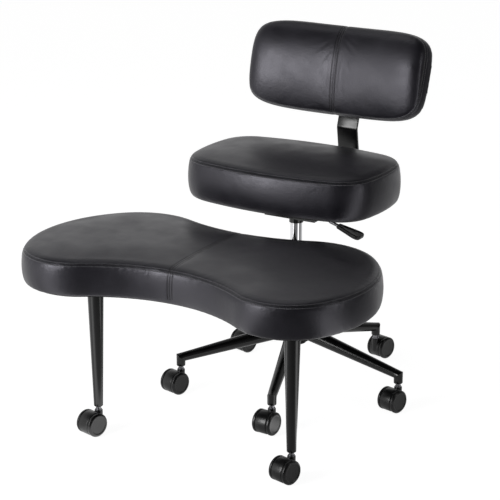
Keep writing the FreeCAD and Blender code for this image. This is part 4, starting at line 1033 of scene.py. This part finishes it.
# painted reflection: a glow that only glossy rays see, brighter to the back left
painted_reflection = ranged(tree, way_along(tree, spot, FLOOR_WAY), *FLOOR_FADE)
place = add(tree, "ShaderNodeSeparateXYZ", {"Vector": spot})
ahead = maths(tree, "SUBTRACT", LANE_START_Y, place.outputs["Y"])
bearing = maths(tree, "ARCTAN2", place.outputs["X"], ahead)
for lane_bearing in LANE_BEARINGS:
    off = maths(tree, "ABSOLUTE", maths(tree, "SUBTRACT", bearing, lane_bearing))
    painted_reflection = maths(tree, "MAXIMUM", painted_reflection, ranged(tree, off, *LANE_FADE))
# the painted reflection is shown to glossy rays only; the camera sees the plain glow
glossy = add(tree, "ShaderNodeLightPath", {}).outputs["Is Glossy Ray"]
shown = maths(tree, "MAXIMUM", seen_straight(tree), maths(tree, "MULTIPLY", glossy, painted_reflection))
glow = add(tree, "ShaderNodeEmission", {"Strength": maths(tree, "MULTIPLY", shown, FLOOR_GLOW)})
paint = add(tree, "ShaderNodeBsdfDiffuse", {"Color": FLOOR_COLOUR})
both = add(tree, "ShaderNodeAddShader", {0: glow.outputs["Emission"], 1: paint.outputs["BSDF"]})
tree.links.new(both.outputs["Shader"], tree.nodes["Material Output"].inputs["Surface"])
floor_mesh.materials.append(floor_paint)

room = bpy.data.worlds.new("white room")
bpy.context.scene.world = room
room.use_nodes = True
tree = room.node_tree
way = add(tree, "ShaderNodeTexCoord", {}).outputs["Generated"]
walls = ranged(tree, way_along(tree, way, WALL_WAY), *WALL_FADE)
height = add(tree, "ShaderNodeSeparateXYZ", {"Vector": way}).outputs["Z"]
lit = maths(tree, "MULTIPLY", walls, ranged(tree, height, *CEILING_FADE))
shown = maths(tree, "MAXIMUM", seen_straight(tree), lit)
tree.links.new(shown, tree.nodes["Background"].inputs["Strength"])
tree.nodes["Background"].inputs["Color"].default_value = (1, 1, 1, 1)


def soft_lamp(name, place, aim, size, power):
    """A flat soft lamp turned so that its face looks at the aim."""
    lamp = bpy.data.lights.new(name, "AREA")
    lamp.shape = "RECTANGLE"
    lamp.size, lamp.size_y = size
    lamp.energy = power
    stand = bpy.data.objects.new(name, lamp)
    bpy.context.scene.collection.objects.link(stand)
    look = np.array(aim) - np.array(place)
    flat = math.hypot(look[0], look[1])
    spin = math.atan2(look[1], look[0]) - math.pi / 2
    stand.rotation_euler = (math.atan2(flat, -look[2]), 0, spin)
    stand.location = place
    stand.visible_camera = False


soft_lamp("left lamp", place=(-1.10, -2.45, 1.05), aim=LAMP_AIM, size=(0.95, 1.4), power=39)
soft_lamp("right lamp", place=(2.15, -0.10, 0.95), aim=LAMP_AIM, size=(0.25, 1.5), power=5.5)
soft_lamp("top lamp", place=(-0.6, 0.4, 2.6), aim=(0, -0.1, 0.4), size=(1.2, 1.0), power=3)

eye = bpy.data.cameras.new("camera")
eye.lens = CAMERA_LENS
eye.sensor_width = 36
eye.sensor_fit = "HORIZONTAL"
eye.clip_end = 100
eye_stand = bpy.data.objects.new("camera", eye)
eye_stand.location = CAMERA_PLACE
eye_stand.rotation_euler = (math.pi / 2 - CAMERA_DROP, 0, CAMERA_AZIMUTH)
bpy.context.scene.collection.objects.link(eye_stand)
bpy.context.scene.camera = eye_stand
bpy.context.scene.view_settings.view_transform = "Standard"
